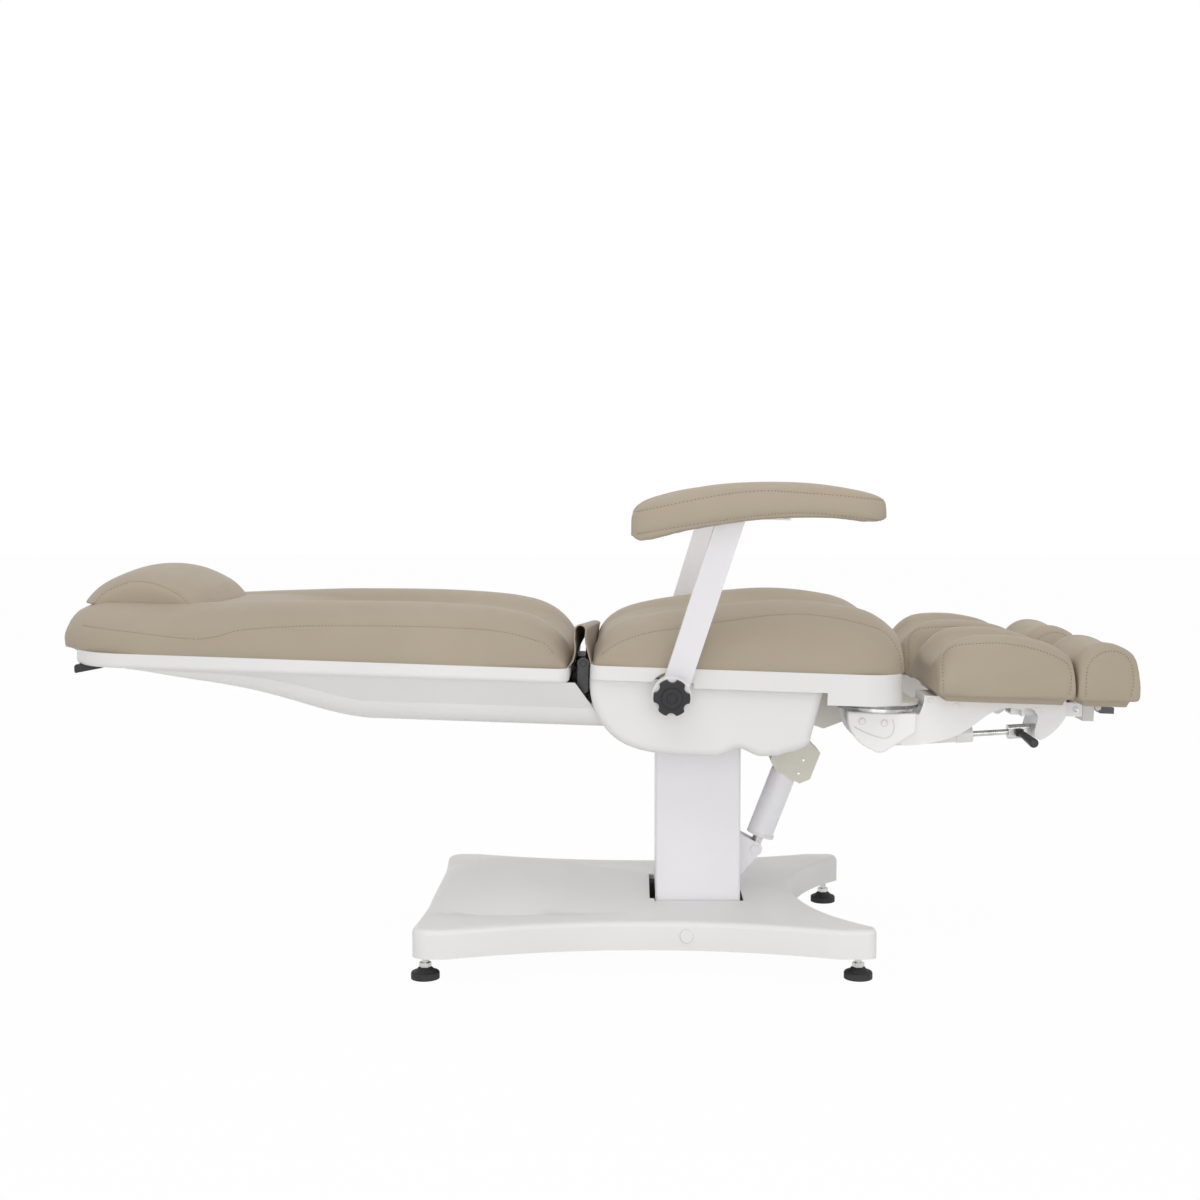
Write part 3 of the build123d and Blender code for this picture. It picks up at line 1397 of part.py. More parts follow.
def leg_hub(side):
    """The turning plate, two cheeks that hold the fold pin, and short stubs for the gas spring."""
    top = hub_top_z()
    hub = bar_z(swivel_radius - swivel_plate, swivel_x, 0, top - hub_drop, top)
    cheek = hub_face(hub_rear_x, hub_front_x, hub_low_z - overrun / 4, cap_side_low_z, cap_toe_x, top - hub_drop)
    for sign in (1, -1):
        hub += across(cheek, *sorted((sign * hub_cheek_inner, sign * hub_cheek_outer)))
        stub_tip = gas_eye_half_width + anchor_pin_gap
        hub += bar_y(gas_pin_radius, spring_rear_x, spring_rear_z,
                     *sorted((sign * stub_tip, sign * (hub_cheek_inner + anchor_pin_gap))))
    pin_end = cap_inner + (cap_outer - cap_inner) / 2
    hub += bar_y(fold_pin_radius, fold_x, fold_z, -pin_end, pin_end)
    return leg_side(hub, side)


def hub_cover(side):
    top = hub_top_z() - hub_drop
    cap_face = hub_face(cap_rear_x, cap_front_x, cap_low_z, cap_side_low_z, cap_toe_x, top)
    caps = []
    for sign in (1, -1):
        cap = across(cap_face, cap_inner, cap_outer)
        outer_edges = cap.faces().sort_by(Axis.Y)[-1].edges()
        cap = fillet(outer_edges, plastic_wall)
        groove = ThreePointArc((fold_x - 3.4 * fold_pin_radius * 2, cap_outer, fold_z - fold_pin_radius * 1.5),
                               (cap_toe_x, cap_outer, cap_low_z + 2 * fold_pin_radius),
                               (fold_x + fold_pin_radius * 2, cap_outer, fold_z))
        pin_end = cap_inner + (cap_outer - cap_inner) / 2
        cap -= bar_y(fold_pin_radius, fold_x, fold_z, 0, pin_end)
        caps.append(cap if sign > 0 else mirror(cap, Plane.XZ))
    return leg_side(Compound(caps), side)


def leg_outline():
    """Side plate of the leg frame: cranked root, arch over the gas spring and a hook in front."""
    top = leg_top_z
    root_right = (leg_neck_x - 2 * leg_plate, fold_z + fold_pin_radius * 1.5)
    hook_tip_z = spring_front_z - gas_pin_radius * 2
    hook_x = spring_front_x
    arch_top_z = leg_box_low_z + 2 * leg_box_wall + gas_pin_radius
    start = (fold_x - fold_pin_radius * 1.75, fold_z)
    root_low = (fold_x + 2 * fold_pin_radius, leg_root_low_z)
    step = (leg_box_x - root_low[0]) / 6
    arch = [root_low, (root_low[0] + 1.7 * step, leg_root_low_z + 2 * leg_plate),
            (root_low[0] + 3.3 * step, (leg_root_low_z * 0.6 + arch_top_z * 0.4)),
            (root_low[0] + 4.9 * step, arch_top_z - leg_plate),
            (root_low[0] + 6.4 * step, arch_top_z)]
    hook_back = (hook_x - gas_pin_radius * 2, spring_front_z + gas_pin_radius)
    return side_face(
        ThreePointArc(*side_points([start, (fold_x - fold_pin_radius * 0.7, fold_z + fold_pin_radius * 1.25),
                                    (fold_x, fold_z + fold_pin_radius * 1.55)])),
        Line(*side_points([(fold_x, fold_z + fold_pin_radius * 1.55), root_right])),
        ThreePointArc(*side_points([root_right, (leg_neck_x - 0.7 * leg_plate, (root_right[1] + top) / 2 - leg_plate),
                                    (leg_neck_x, top - 2 * leg_plate)])),
        Line(*side_points([(leg_neck_x, top - 2 * leg_plate), (leg_neck_x, top)])),
        Line(*side_points([(leg_neck_x, top), (leg_box_end_x - 9 * leg_plate, top)])),
        Line(*side_points([(leg_box_end_x - 9 * leg_plate, top), (leg_box_end_x - 9 * leg_plate, leg_box_low_z)])),
        ThreePointArc(*side_points([(leg_box_end_x - 9 * leg_plate, leg_box_low_z),
                                    (hook_x + 5 * gas_pin_radius, spring_front_z + gas_pin_radius * 1.2),
                                    (hook_x + gas_pin_radius, hook_tip_z)])),
        ThreePointArc(*side_points([(hook_x + gas_pin_radius, hook_tip_z),
                                    (hook_x - gas_pin_radius * 1.4, hook_tip_z + gas_pin_radius * 0.6),
                                    hook_back])),
        Line(*side_points([hook_back, (hook_x - gas_pin_radius, arch_top_z - 3 * leg_plate)])),
        ThreePointArc(*side_points([(hook_x - gas_pin_radius, arch_top_z - 3 * leg_plate),
                                    (hook_x - 2 * gas_pin_radius, arch_top_z - leg_plate / 2), arch[-1]])),
        Spline(*side_points(arch)),
        Line(*side_points([root_low, (start[0], leg_root_low_z + overrun * 2 / 3)])),
        Line(*side_points([(start[0], leg_root_low_z + overrun * 2 / 3), start])))


def leg_frame(side):
    outline = leg_outline()
    plate_outer = leg_plate_inner + leg_plate
    frame = block(leg_neck_x, leg_box_end_x - 9 * leg_plate, -plate_outer, plate_outer, leg_top_z - leg_plate,
                  leg_top_z)
    for sign in (1, -1):
        frame += across(outline, *sorted((sign * leg_plate_inner, sign * plate_outer)))
    frame += block(leg_neck_x, leg_neck_x + leg_plate, -plate_outer, plate_outer, fold_z + 3 * fold_pin_radius,
                   leg_top_z)
    box = block(leg_box_x, leg_box_end_x, -leg_box_half_width, leg_box_half_width, leg_box_low_z, leg_box_top_z)
    bore = block(leg_box_x - overrun, leg_box_end_x + overrun, -leg_box_half_width + leg_box_wall,
                 leg_box_half_width - leg_box_wall, leg_box_low_z + leg_box_wall, leg_box_top_z - leg_box_wall)
    for share in (0.15, 0.6):
        x = leg_box_x + share * (leg_box_end_x - leg_box_x - 9 * leg_plate)
        frame += block(x, x + leg_plate, -plate_outer, plate_outer, leg_box_low_z, leg_top_z)
    frame += block(leg_box_x, leg_box_end_x - 9 * leg_plate, -leg_box_half_width, leg_box_half_width, leg_box_top_z,
                   leg_top_z - leg_plate)
    frame = frame + box - bore
    frame -= bar_y(fold_pin_radius + running_gap, fold_x, fold_z, -cap_outer, cap_outer)
    frame += bar_y(gas_pin_radius, spring_front_x, spring_front_z, -plate_outer, plate_outer)
    return leg_side(frame, side)


def spring_frame():
    return along(spring_front_x, spring_front_z, spring_rear_x, spring_rear_z)


def spring_reach():
    return math.hypot(spring_front_x - spring_rear_x, spring_front_z - spring_rear_z)


def gas_tube(side):
    """Drawn from the front pin towards the hub."""
    stand = (Align.CENTER, Align.CENTER, Align.MIN)
    front = spring_reach() - gas_tube_end
    tube = Pos(0, 0, front) * Cylinder(gas_tube_radius, gas_tube_end - gas_eye_half_width, align=stand)
    tube += Pos(0, 0, front) * Cylinder(gas_sleeve_radius, gas_sleeve_length, align=stand)
    bore = Pos(0, 0, front + 2 * gas_wall) * Cylinder(gas_tube_radius - gas_wall, gas_rod_inner, align=stand)
    mouth = Cylinder(gas_rod_radius + running_gap, front + gas_wall * 4, align=stand)
    piece = spring_frame() * (tube - bore - mouth)
    piece += bar_y(gas_eye_radius, spring_rear_x, spring_rear_z, -gas_eye_half_width, gas_eye_half_width)
    return leg_side(piece, side)


def gas_rod(side):
    stand = (Align.CENTER, Align.CENTER, Align.MIN)
    head_length = spring_reach() - gas_head_start
    front = spring_reach() - gas_tube_end
    rod = Cylinder(gas_rod_radius, front + gas_rod_inner / 3, align=stand)
    head = Pos(0, 0, gas_pin_radius * 2) * Box(2 * gas_head_half_width, 2 * gas_head_half_height,
                                               head_length - gas_pin_radius * 2, align=stand)
    head = fillet(head.edges().filter_by(Axis.Z), gas_wall * 2)
    piece = spring_frame() * (rod + head)
    piece += bar_y(gas_head_half_height, spring_front_x, spring_front_z, -gas_head_half_width, gas_head_half_width)
    piece -= bar_y(gas_pin_radius + running_gap, spring_front_x, spring_front_z, -overrun, overrun)
    return leg_side(piece, side)


def lever_point():
    """Where the release lever enters the spring's head."""
    share = (spring_reach() - lever_place) / spring_reach()
    return (spring_front_x + share * (spring_rear_x - spring_front_x),
            spring_front_z + share * (spring_rear_z - spring_front_z))


def release_lever(side):
    x, z = lever_point()
    start = gas_head_half_width + slide_gap + lever_boss_radius
    boss = bar_z(lever_boss_radius, x, start, z - lever_boss_radius, z + lever_boss_radius)
    stem = bar_y(lever_shank_radius, x, z, start, start + lever_shank)
    root_y = start + lever_shank
    facing = Rot(-quarter_turn, 0, 0)
    low = Pos(x, root_y, z) * facing * Circle(lever_root_radius)
    high = Pos(x + lever_forward, root_y + lever_grip, z - lever_forward) * facing * Circle(lever_grip_radius)
    grip = loft([low, high])
    grip = fillet(grip.edges().sort_by(Axis.Y)[-1], lever_grip_radius / 2)
    return leg_side(boss + stem + grip, side)


def leg_cushion(rear_x, front_x, inner_y, height, shares, side):
    half = (calf_outer_y - inner_y) / 2
    middle = (calf_outer_y + inner_y) / 2
    body = cushion(rear_x, front_x, middle, half, half - board_inset / 8, calf_base_z, height, shares)
    body += block(rear_x + board_inset / 2, front_x - board_inset / 2, middle - half + board_inset,
                  middle + half - board_inset, calf_base_z - board_thickness, calf_base_z)
    return arm_side(body, side)


def calf_cushion(side):
    widths = (0.93,) + (0.985,) + (1.0,) * 5 + (0.985, 0.95)
    shares = (calf_along_shares, calf_crest_shares, calf_valley_shares, widths)
    return leg_cushion(calf_rear_x, calf_front_x, calf_inner_y, calf_height, shares, side)


def foot_cushion(side):
    widths = (0.95,) + (0.985,) + (1.0,) * 5 + (0.985, 0.95)
    shares = (foot_along_shares, foot_crest_shares, foot_valley_shares, widths)
    return leg_cushion(foot_rear_x, chair_foot_x - soft_gap, foot_inner_y, foot_height, shares, side)


def foot_slide(side):
    """Inner tube with its end bush, the plate under the foot cushion and two ears for the lever."""
    half = leg_box_half_width - leg_box_wall - slide_gap
    low = leg_box_low_z + leg_box_wall + slide_gap
    high = leg_box_top_z - leg_box_wall - slide_gap
    slide = block(slide_tail_x, leg_box_end_x, -half, half, low, high)
    slide -= block(slide_tail_x - overrun, leg_box_end_x, -half + leg_box_wall, half - leg_box_wall,
                   low + leg_box_wall, high - leg_box_wall)
    bush_start = leg_box_end_x + slide_gap
    plate_low = leg_top_z - slide_plate
    bush = block(bush_start - slide_gap, slide_bush_end_x, -half, half, low, high)
    bush += block(bush_start, slide_bush_end_x, -slide_bush_half_width, slide_bush_half_width, slide_bush_low_z,
                  plate_low)
    plate = block(slide_plate_rear_x, slide_plate_front_x, -slide_bush_half_width * 2, slide_bush_half_width * 2,
                  plate_low, leg_top_z)
    slide += bush
    slide += plate
    ear_face = eye_plate(foot_lever_x, foot_lever_z, foot_lever_radius,
                         [(foot_lever_x - foot_lever_radius, plate_low), (foot_lever_x + foot_lever_radius, plate_low),
                          (foot_lever_x + foot_lever_radius, foot_lever_z),
                          (foot_lever_x - foot_lever_radius, foot_lever_z)])
    for sign in (1, -1):
        near = foot_lever_half_width + slide_gap
        slide += across(ear_face, *sorted((sign * near, sign * (near + foot_ear))))
    pin = foot_lever_half_width + slide_gap
    return leg_side(slide + bar_y(foot_lever_pin_radius, foot_lever_x, foot_lever_z, -pin, pin), side)


def foot_lever(side):
    x = foot_lever_x
    z = foot_lever_z
    radius = foot_lever_radius
    blade = eye_plate(x, z, radius - slide_gap,
                      [(x - radius / 3, z + radius * 0.9), (x - radius / 3, z - radius * 0.9),
                       (x + radius, z - foot_lever_blade), (foot_lever_tip_x, z - foot_lever_blade),
                       (foot_lever_tip_x, z), (x + radius * 1.5, z + radius * 0.4)])
    lever = across(blade, -foot_lever_half_width, foot_lever_half_width)
    lever -= bar_y(foot_lever_pin_radius + running_gap, x, z, -overrun, overrun)
    return leg_side(lever, side)


sides = {"right": -1, "left": 1}


def build():
    """Every sub-part by its name, in place."""
    parts = {
        "base_frame": base_frame(),
        "base_cover": base_cover(),
        "cover_plugs": cover_plugs(),
        "mains_inlet": mains_inlet(),
        "foot_pads": foot_pads(),
        "foot_studs": foot_studs(),
        "control_box": control_box(),
        "column_post": column_post(),
        "lift_motor": lift_motor(),
        "column_sleeve": column_sleeve(),
        "lift_rod": lift_rod(),
        "column_head": column_head(),
        "tilt_shaft": tilt_shaft(),
        "tilt_clevis": tilt_clevis(),
        "tilt_rod": tilt_rod(),
        "tilt_tube": tilt_tube(),
        "tilt_motor": tilt_motor(),
    }
    upper = {
        "seat_frame": seat_frame(),
        "seat_shell": seat_shell(),
        "seat_cushion": seat_cushion(),
        "arm_stubs": arm_stubs(),
        "front_beam": front_beam(),
        "swivel_rings": swivel_rings(),
        "hinge_brackets": hinge_brackets(),
        "hinge_flap": hinge_flap(),
        "back_frame": back_frame(),
        "back_shell": back_shell(),
        "back_cushion": back_cushion(),
        "head_pillow": head_pillow(),
        "pillow_strap": pillow_strap(),
        "handset_hook": handset_hook(),
        "back_motor": back_motor(),
        "back_rod": back_rod(),
    }
    makers = (arm_post, arm_pad, arm_knob, leg_hub, hub_cover, leg_frame, calf_cushion, gas_tube, gas_rod,
              release_lever, foot_slide, foot_cushion, foot_lever)
    for side_name, side in sides.items():
        for maker in makers:
            upper[side_name + "_" + maker.__name__] = maker(side)
    for name, shape in upper.items():
        parts[name] = tilted(shape)
    return parts


os.makedirs("parts", exist_ok=True)
for name, shape in build().items():
    export_step(shape, "parts/" + name + ".step")
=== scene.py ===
import json
import math

import bpy
from mathutils import Matrix, Vector, kdtree
from mathutils.geometry import interpolate_bezier


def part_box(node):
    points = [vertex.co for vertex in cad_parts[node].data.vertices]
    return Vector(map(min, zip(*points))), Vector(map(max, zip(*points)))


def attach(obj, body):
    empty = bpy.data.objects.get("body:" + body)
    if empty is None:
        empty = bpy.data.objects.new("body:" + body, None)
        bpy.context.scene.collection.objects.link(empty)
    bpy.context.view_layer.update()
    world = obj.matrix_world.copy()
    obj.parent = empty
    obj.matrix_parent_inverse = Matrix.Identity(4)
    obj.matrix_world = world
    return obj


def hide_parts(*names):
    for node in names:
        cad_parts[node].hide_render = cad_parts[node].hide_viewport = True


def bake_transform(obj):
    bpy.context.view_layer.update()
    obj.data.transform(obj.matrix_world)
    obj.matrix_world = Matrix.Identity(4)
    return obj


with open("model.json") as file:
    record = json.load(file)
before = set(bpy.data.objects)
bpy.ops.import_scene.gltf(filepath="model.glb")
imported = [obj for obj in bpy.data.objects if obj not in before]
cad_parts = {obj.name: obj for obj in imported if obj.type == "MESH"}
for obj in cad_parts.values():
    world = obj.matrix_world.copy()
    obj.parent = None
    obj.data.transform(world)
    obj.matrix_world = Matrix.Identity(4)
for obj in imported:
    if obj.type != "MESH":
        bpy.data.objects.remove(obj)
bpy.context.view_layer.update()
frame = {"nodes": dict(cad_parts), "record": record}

# A flat-lying treatment chair on a lift column. Metres, +X to the foot end, +Z up.
# The upper chair leans foot end down about the tilt shaft.
LEAN = math.radians(2)
TILT_SHAFT = Vector((0.193, 0, 0.420))
RIM_TOP = 0.545
BACK_RIM_TOP = 0.537
SIDES = {"right": -1, "left": 1}
MM = 0.001  # side-view places are written in millimetres
BESIDE = 0.6  # well outside the chair, where lines and fittings are aimed from


def leaned(x, y, z):
    """A place on the level chair, as it lies once the chair leans."""
    return TILT_SHAFT + Matrix.Rotation(LEAN, 3, "Y") @ (Vector((x, y, z)) - TILT_SHAFT)


def leveled(point):
    """The same place on the level chair."""
    return TILT_SHAFT + Matrix.Rotation(-LEAN, 3, "Y") @ (Vector(point) - TILT_SHAFT)


# Working on one piece at a time

def pick(piece):
    bpy.ops.object.select_all(action="DESELECT")
    piece.select_set(True)
    bpy.context.view_layer.objects.active = piece


def apply_modifier(piece, kind, **settings):
    pick(piece)
    modifier = piece.modifiers.new(kind.title(), kind)
    for key, value in settings.items():
        setattr(modifier, key, value)
    bpy.ops.object.modifier_apply(modifier=modifier.name)


def copy_of(node, name, merge=0.00002, flat=math.radians(0.4)):
    """A merged copy of a node's mesh, free of its loose triangles."""
    piece = bpy.data.objects.new(name, frame["nodes"][node].data.copy())
    bpy.context.scene.collection.objects.link(piece)
    pick(piece)
    bpy.ops.mesh.customdata_custom_splitnormals_clear()
    bpy.ops.object.mode_set(mode="EDIT")
    bpy.ops.mesh.select_all(action="SELECT")
    bpy.ops.mesh.remove_doubles(threshold=merge)
    bpy.ops.mesh.dissolve_limited(angle_limit=flat)
    bpy.ops.object.mode_set(mode="OBJECT")
    return piece


def paint(piece, material):
    piece.data.materials.clear()
    piece.data.materials.append(material)


def body_of_node(node):
    return next(body for body, nodes in frame["record"]["behaviour"]["bodies"].items() if node in nodes)


def slot_of_node(node):
    return next(part["material_slot"] for part in frame["record"]["subparts"] if part["node"] == node)


# Finishes

def linear(value):
    """Light level of a chart value from 0 to 255."""
    value = value / 255
    return value / 12.92 if value <= 0.04045 else ((value + 0.055) / 1.055) ** 2.4


def colour(red, green, blue):
    """Linear colour from the values of a colour chart."""
    return (linear(red), linear(green), linear(blue), 1)


class Finish:
    """A node material built up layer by layer."""

    def __init__(self, name):
        self.material = bpy.data.materials.new(name)
        self.material.use_nodes = True
        self.nodes = self.material.node_tree.nodes
        self.links = self.material.node_tree.links
        self.shader = self.nodes["Principled BSDF"]
        self.place = self.nodes.new("ShaderNodeTexCoord").outputs["Object"]
        self.normal = None

    def noise(self, scale, detail=3, roughness=0.5):
        node = self.nodes.new("ShaderNodeTexNoise")
        node.inputs["Scale"].default_value = scale
        node.inputs["Detail"].default_value = detail
        node.inputs["Roughness"].default_value = roughness
        self.links.new(self.place, node.inputs["Vector"])
        return node.outputs["Fac"]

    def cells(self, scale):
        node = self.nodes.new("ShaderNodeTexVoronoi")
        node.feature = "DISTANCE_TO_EDGE"
        node.inputs["Scale"].default_value = scale
        self.links.new(self.place, node.inputs["Vector"])
        return node.outputs["Distance"]

    def ramp(self, source, low, high, start=0.35, end=0.65):
        node = self.nodes.new("ShaderNodeValToRGB")
        node.color_ramp.elements[0].color = low
        node.color_ramp.elements[1].color = high
        node.color_ramp.elements[0].position = start
        node.color_ramp.elements[1].position = end
        self.links.new(source, node.inputs["Fac"])
        return node.outputs["Color"]

    def span(self, source, low, high, start=0.3, end=0.7):
        node = self.nodes.new("ShaderNodeMapRange")
        node.inputs["From Min"].default_value = start
        node.inputs["From Max"].default_value = end
        node.inputs["To Min"].default_value = low
        node.inputs["To Max"].default_value = high
        self.links.new(source, node.inputs["Value"])
        return node.outputs["Result"]

    def base(self, low, high, scale, detail):
        shades = self.ramp(self.noise(scale, detail), colour(*low), colour(*high))
        self.links.new(shades, self.shader.inputs["Base Color"])

    def rough(self, low, high, scale):
        self.links.new(self.span(self.noise(scale, 4), low, high), self.shader.inputs["Roughness"])

    def relief(self, source, strength, distance):
        node = self.nodes.new("ShaderNodeBump")
        node.inputs["Strength"].default_value = strength
        node.inputs["Distance"].default_value = distance
        self.links.new(source, node.inputs["Height"])
        if self.normal:
            self.links.new(self.normal, node.inputs["Normal"])
        self.normal = node.outputs["Normal"]
        self.links.new(self.normal, self.shader.inputs["Normal"])

    def set(self, **sockets):
        for name, value in sockets.items():
            self.shader.inputs[name.replace("_", " ")].default_value = value


def upholstery_finish(name, low, high):
    """Soft artificial leather: a fine pebble grain, faint mottling and a low sheen."""
    finish = Finish(name)
    finish.base(low, high, 5, 2)
    finish.rough(0.5, 0.6, 40)
    finish.relief(finish.noise(9, 2), 0.05, 0.003)
    finish.relief(finish.noise(420, 3, 0.6), 0.10, 0.0004)
    finish.relief(finish.cells(780), 0.14, 0.00035)
    finish.set(Specular_IOR_Level=0.34, Sheen_Weight=0.06, Sheen_Roughness=0.5)
    return finish.material


def moulded_finish(name, low, high, roughness=(0.34, 0.44), grain=1100, depth=0.05, level=0.42):
    """Moulded plastic with a very fine texture and barely uneven gloss."""
    finish = Finish(name)
    finish.base(low, high, 3, 2)
    finish.rough(*roughness, 16)
    finish.relief(finish.noise(4, 2), 0.05, 0.003)
    finish.relief(finish.noise(grain, 2), depth, 0.0002)
    finish.set(Specular_IOR_Level=level)
    return finish.material


def coated_finish(name, low, high, roughness=(0.3, 0.4)):
    """Powder-coated steel with a fine orange peel."""
    finish = Finish(name)
    finish.base(low, high, 5, 2)
    finish.rough(*roughness, 22)
    finish.relief(finish.noise(520, 2), 0.09, 0.0003)
    finish.set(Specular_IOR_Level=0.5, Coat_Weight=0.08, Coat_Roughness=0.2)
    return finish.material


def plated_finish(name, low, high, roughness=(0.22, 0.4)):
    """Bright zinc plate with cloudy patches and fine scratches."""
    finish = Finish(name)
    finish.base(low, high, 60, 4)
    finish.rough(*roughness, 90)
    finish.relief(finish.noise(300, 5, 0.7), 0.06, 0.0002)
    finish.set(Metallic=1)
    return finish.material


def rubber_finish(name, low, high):
    """Dark moulded rubber, dull and slightly dusty."""
    finish = Finish(name)
    finish.base(low, high, 30, 5)
    finish.rough(0.6, 0.78, 45)
    finish.relief(finish.noise(700, 3), 0.2, 0.0003)
    finish.set(Specular_IOR_Level=0.3)
    return finish.material


def woven_finish(name, low, high):
    """Woven elastic: crossed fine ribs."""
    finish = Finish(name)
    finish.base(low, high, 120, 3)
    wave = finish.nodes.new("ShaderNodeTexWave")
    wave.bands_direction = "Y"
    wave.inputs["Scale"].default_value = 420
    finish.links.new(finish.place, wave.inputs["Vector"])
    finish.relief(wave.outputs["Fac"], 0.5, 0.0005)
    finish.set(Roughness=0.85, Sheen_Weight=0.15)
    return finish.material


FINISHES = {
    "upholstery": upholstery_finish("artificial_leather", (173, 160, 141), (178, 165, 146)),
    "flap_upholstery": upholstery_finish("flap_leather", (160, 146, 129), (166, 152, 135)),
    "strap_elastic": woven_finish("strap_elastic", (66, 60, 56), (80, 73, 68)),
    "cover_white": moulded_finish("cover_plastic", (240, 239, 238), (245, 244, 243)),
    "shell_white": moulded_finish("shell_plastic", (234, 233, 231), (240, 239, 237)),
    "column_white": coated_finish("column_coat", (246, 244, 247), (250, 248, 251)),
    "post_white": coated_finish("post_coat", (238, 236, 239), (243, 241, 244)),
    "leg_white": coated_finish("leg_coat", (246, 245, 245), (250, 249, 249)),
    "hub_ivory": moulded_finish("hub_plastic", (250, 248, 248), (253, 251, 251)),
    "gas_white": coated_finish("gas_tube_paint", (238, 236, 235), (243, 241, 240), (0.2, 0.3)),
    "housing_cream": moulded_finish("housing_plastic", (226, 222, 210), (231, 227, 215), (0.42, 0.55)),
    "actuator_grey": coated_finish("actuator_tube", (248, 247, 250), (252, 251, 254), (0.24, 0.34)),
    "beam_grey": coated_finish("beam_coat", (222, 219, 211), (228, 225, 217)),
    "black_steel": coated_finish("frame_coat", (44, 43, 44), (54, 53, 54)),
    "zinc_steel": plated_finish("zinc_plate", (186, 187, 186), (212, 212, 210)),
    "foot_rubber": rubber_finish("foot_rubber", (54, 52, 53), (68, 66, 67)),
    "dark_plastic": moulded_finish("dark_plastic", (44, 43, 46), (52, 51, 54), (0.4, 0.5), 800, 0.15),
    "hook_plastic": moulded_finish("hook_plastic", (46, 45, 48), (54, 53, 56), (0.4, 0.5), 800, 0.15),
    "knob_plastic": moulded_finish("knob_plastic", (24, 23, 27), (31, 30, 34), (0.42, 0.52), 700, 0.25),
    "grip_plastic": moulded_finish("grip_plastic", (52, 51, 54), (62, 61, 64), (0.45, 0.55), 700, 0.2),
    "bush_plastic": moulded_finish("bush_plastic", (218, 214, 210), (224, 220, 216)),
    "lever_grey": moulded_finish("lever_plastic", (92, 90, 91), (102, 99, 100), (0.4, 0.5), 800, 0.15),
}
THREAD = upholstery_finish("sewing_thread", (126, 114, 97), (136, 124, 106))
# A darker copy of the zinc plate: painted shade for the swivel rings tucked under the hub covers.
SHADED_RING_STEEL = plated_finish("ring_steel_painted_shade", (112, 112, 114), (140, 140, 141))
HOOK_BLUE = moulded_finish("hook_blue", (40, 52, 96), (46, 58, 104), (0.4, 0.5), 800, 0.15)


# Rigid pieces: merged copies of the nodes with softened edges

CREASE = math.radians(32)  # edges bent more than this are rounded
SHARP = math.radians(40)  # edges bent more than this stay sharp in the shading


def soften(node, width):
    """Stands in for a node with its edges rounded as its real maker would leave them."""
    piece = copy_of(node, node + "_shown")
    apply_modifier(piece, "BEVEL", width=width, segments=2, limit_method="ANGLE", angle_limit=CREASE,
                   use_clamp_overlap=True)
    pick(piece)
    bpy.ops.object.shade_smooth_by_angle(angle=SHARP)
    apply_modifier(piece, "WEIGHTED_NORMAL", keep_sharp=True)
    paint(piece, FINISHES[slot_of_node(node)])
    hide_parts(node)
    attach(piece, body_of_node(node))
    return piece


# How far each node's edges are rounded
EDGE_WIDTHS = {
    "base_cover": 0.0012, "seat_shell": 0.0012, "back_shell": 0.0012, "column_sleeve": 0.0006,
    "front_beam": 0.0012, "tilt_clevis": 0.0012, "tilt_motor": 0.003, "foot_studs": 0.0006,
    "handset_hook": 0.0008, "mains_inlet": 0.0006, "hinge_brackets": 0.0008, "seat_frame": 0.001,
    "back_frame": 0.001, "tilt_tube": 0.0008, "swivel_rings": 0.0006,
}
SIDE_EDGE_WIDTHS = {
    "arm_post": 0.0015, "arm_knob": 0.0016, "hub_cover": 0.0006, "leg_hub": 0.0008, "leg_frame": 0.0008,
    "gas_rod": 0.0008, "foot_slide": 0.0008, "foot_lever": 0.0008, "release_lever": 0.0006,
    "gas_tube": 0.0006,
}


def dress_rigid_nodes():
    """Finishes on every node, and softened stand-ins where an edge shows."""
    shown = dict(frame["nodes"])
    for node, piece in frame["nodes"].items():
        for slot in piece.material_slots:
            slot.material = FINISHES[slot_of_node(node)]
    for node, width in EDGE_WIDTHS.items():
        shown[node] = soften(node, width)
    for side in SIDES:
        for node, width in SIDE_EDGE_WIDTHS.items():
            shown[side + "_" + node] = soften(side + "_" + node, width)
    return shown


rigid = dress_rigid_nodes()


def raise_arm_posts(foot=0.520, crest=0.787, back=0.016, up=0.022):
    """Runs each armrest's post up into its pad."""
    for side in SIDES:
        for vertex in rigid[side + "_arm_post"].data.vertices:
            level = leveled(vertex.co)
            share = max(0, (level.z - foot) / (crest - foot))
            vertex.co = leaned(level.x - back * share, level.y, level.z + up * share)


raise_arm_posts()


def lower_mound(deck=0.093, share=0.7):
    """The cover's mound as low as the photograph has it."""
    for vertex in rigid["base_cover"].data.vertices:
        if vertex.co.z > deck:
            vertex.co.z = deck + (vertex.co.z - deck) * share


lower_mound()


def lengthen_tilt_tube(extra=0.012, collar=0.007, rim=0.0012):
    """Runs the tilt actuator's tube down to its collar."""
    tube = rigid["tilt_tube"]
    places = [vertex.co for vertex in tube.data.vertices]
    middle = sum(places, Vector()) / len(places)
    away = [(place.x - middle.x, place.z - middle.z) for place in places]
    lean = sum(x * z for x, z in away) / sum(z ** 2 for _, z in away)
    down = Vector((-lean, 0, -1)).normalized()
    for place in places:
        if (place - middle).dot(down) > 0:
            place += down * extra
    reach = max((place - middle).dot(down) for place in places)
    end = middle + down * (reach - collar / 2)
    radius = (max(place.y for place in places) - min(place.y for place in places)) / 2 + rim
    bpy.ops.object.select_all(action="DESELECT")
    bpy.ops.mesh.primitive_cylinder_add(vertices=48, radius=radius, depth=collar, location=end,
                                        rotation=(0, math.atan2(down.x, down.z), 0))
    ring = bpy.context.object
    ring.name = "tilt_tube_collar"
    settle(ring, "tilt_tube", "cover_white")


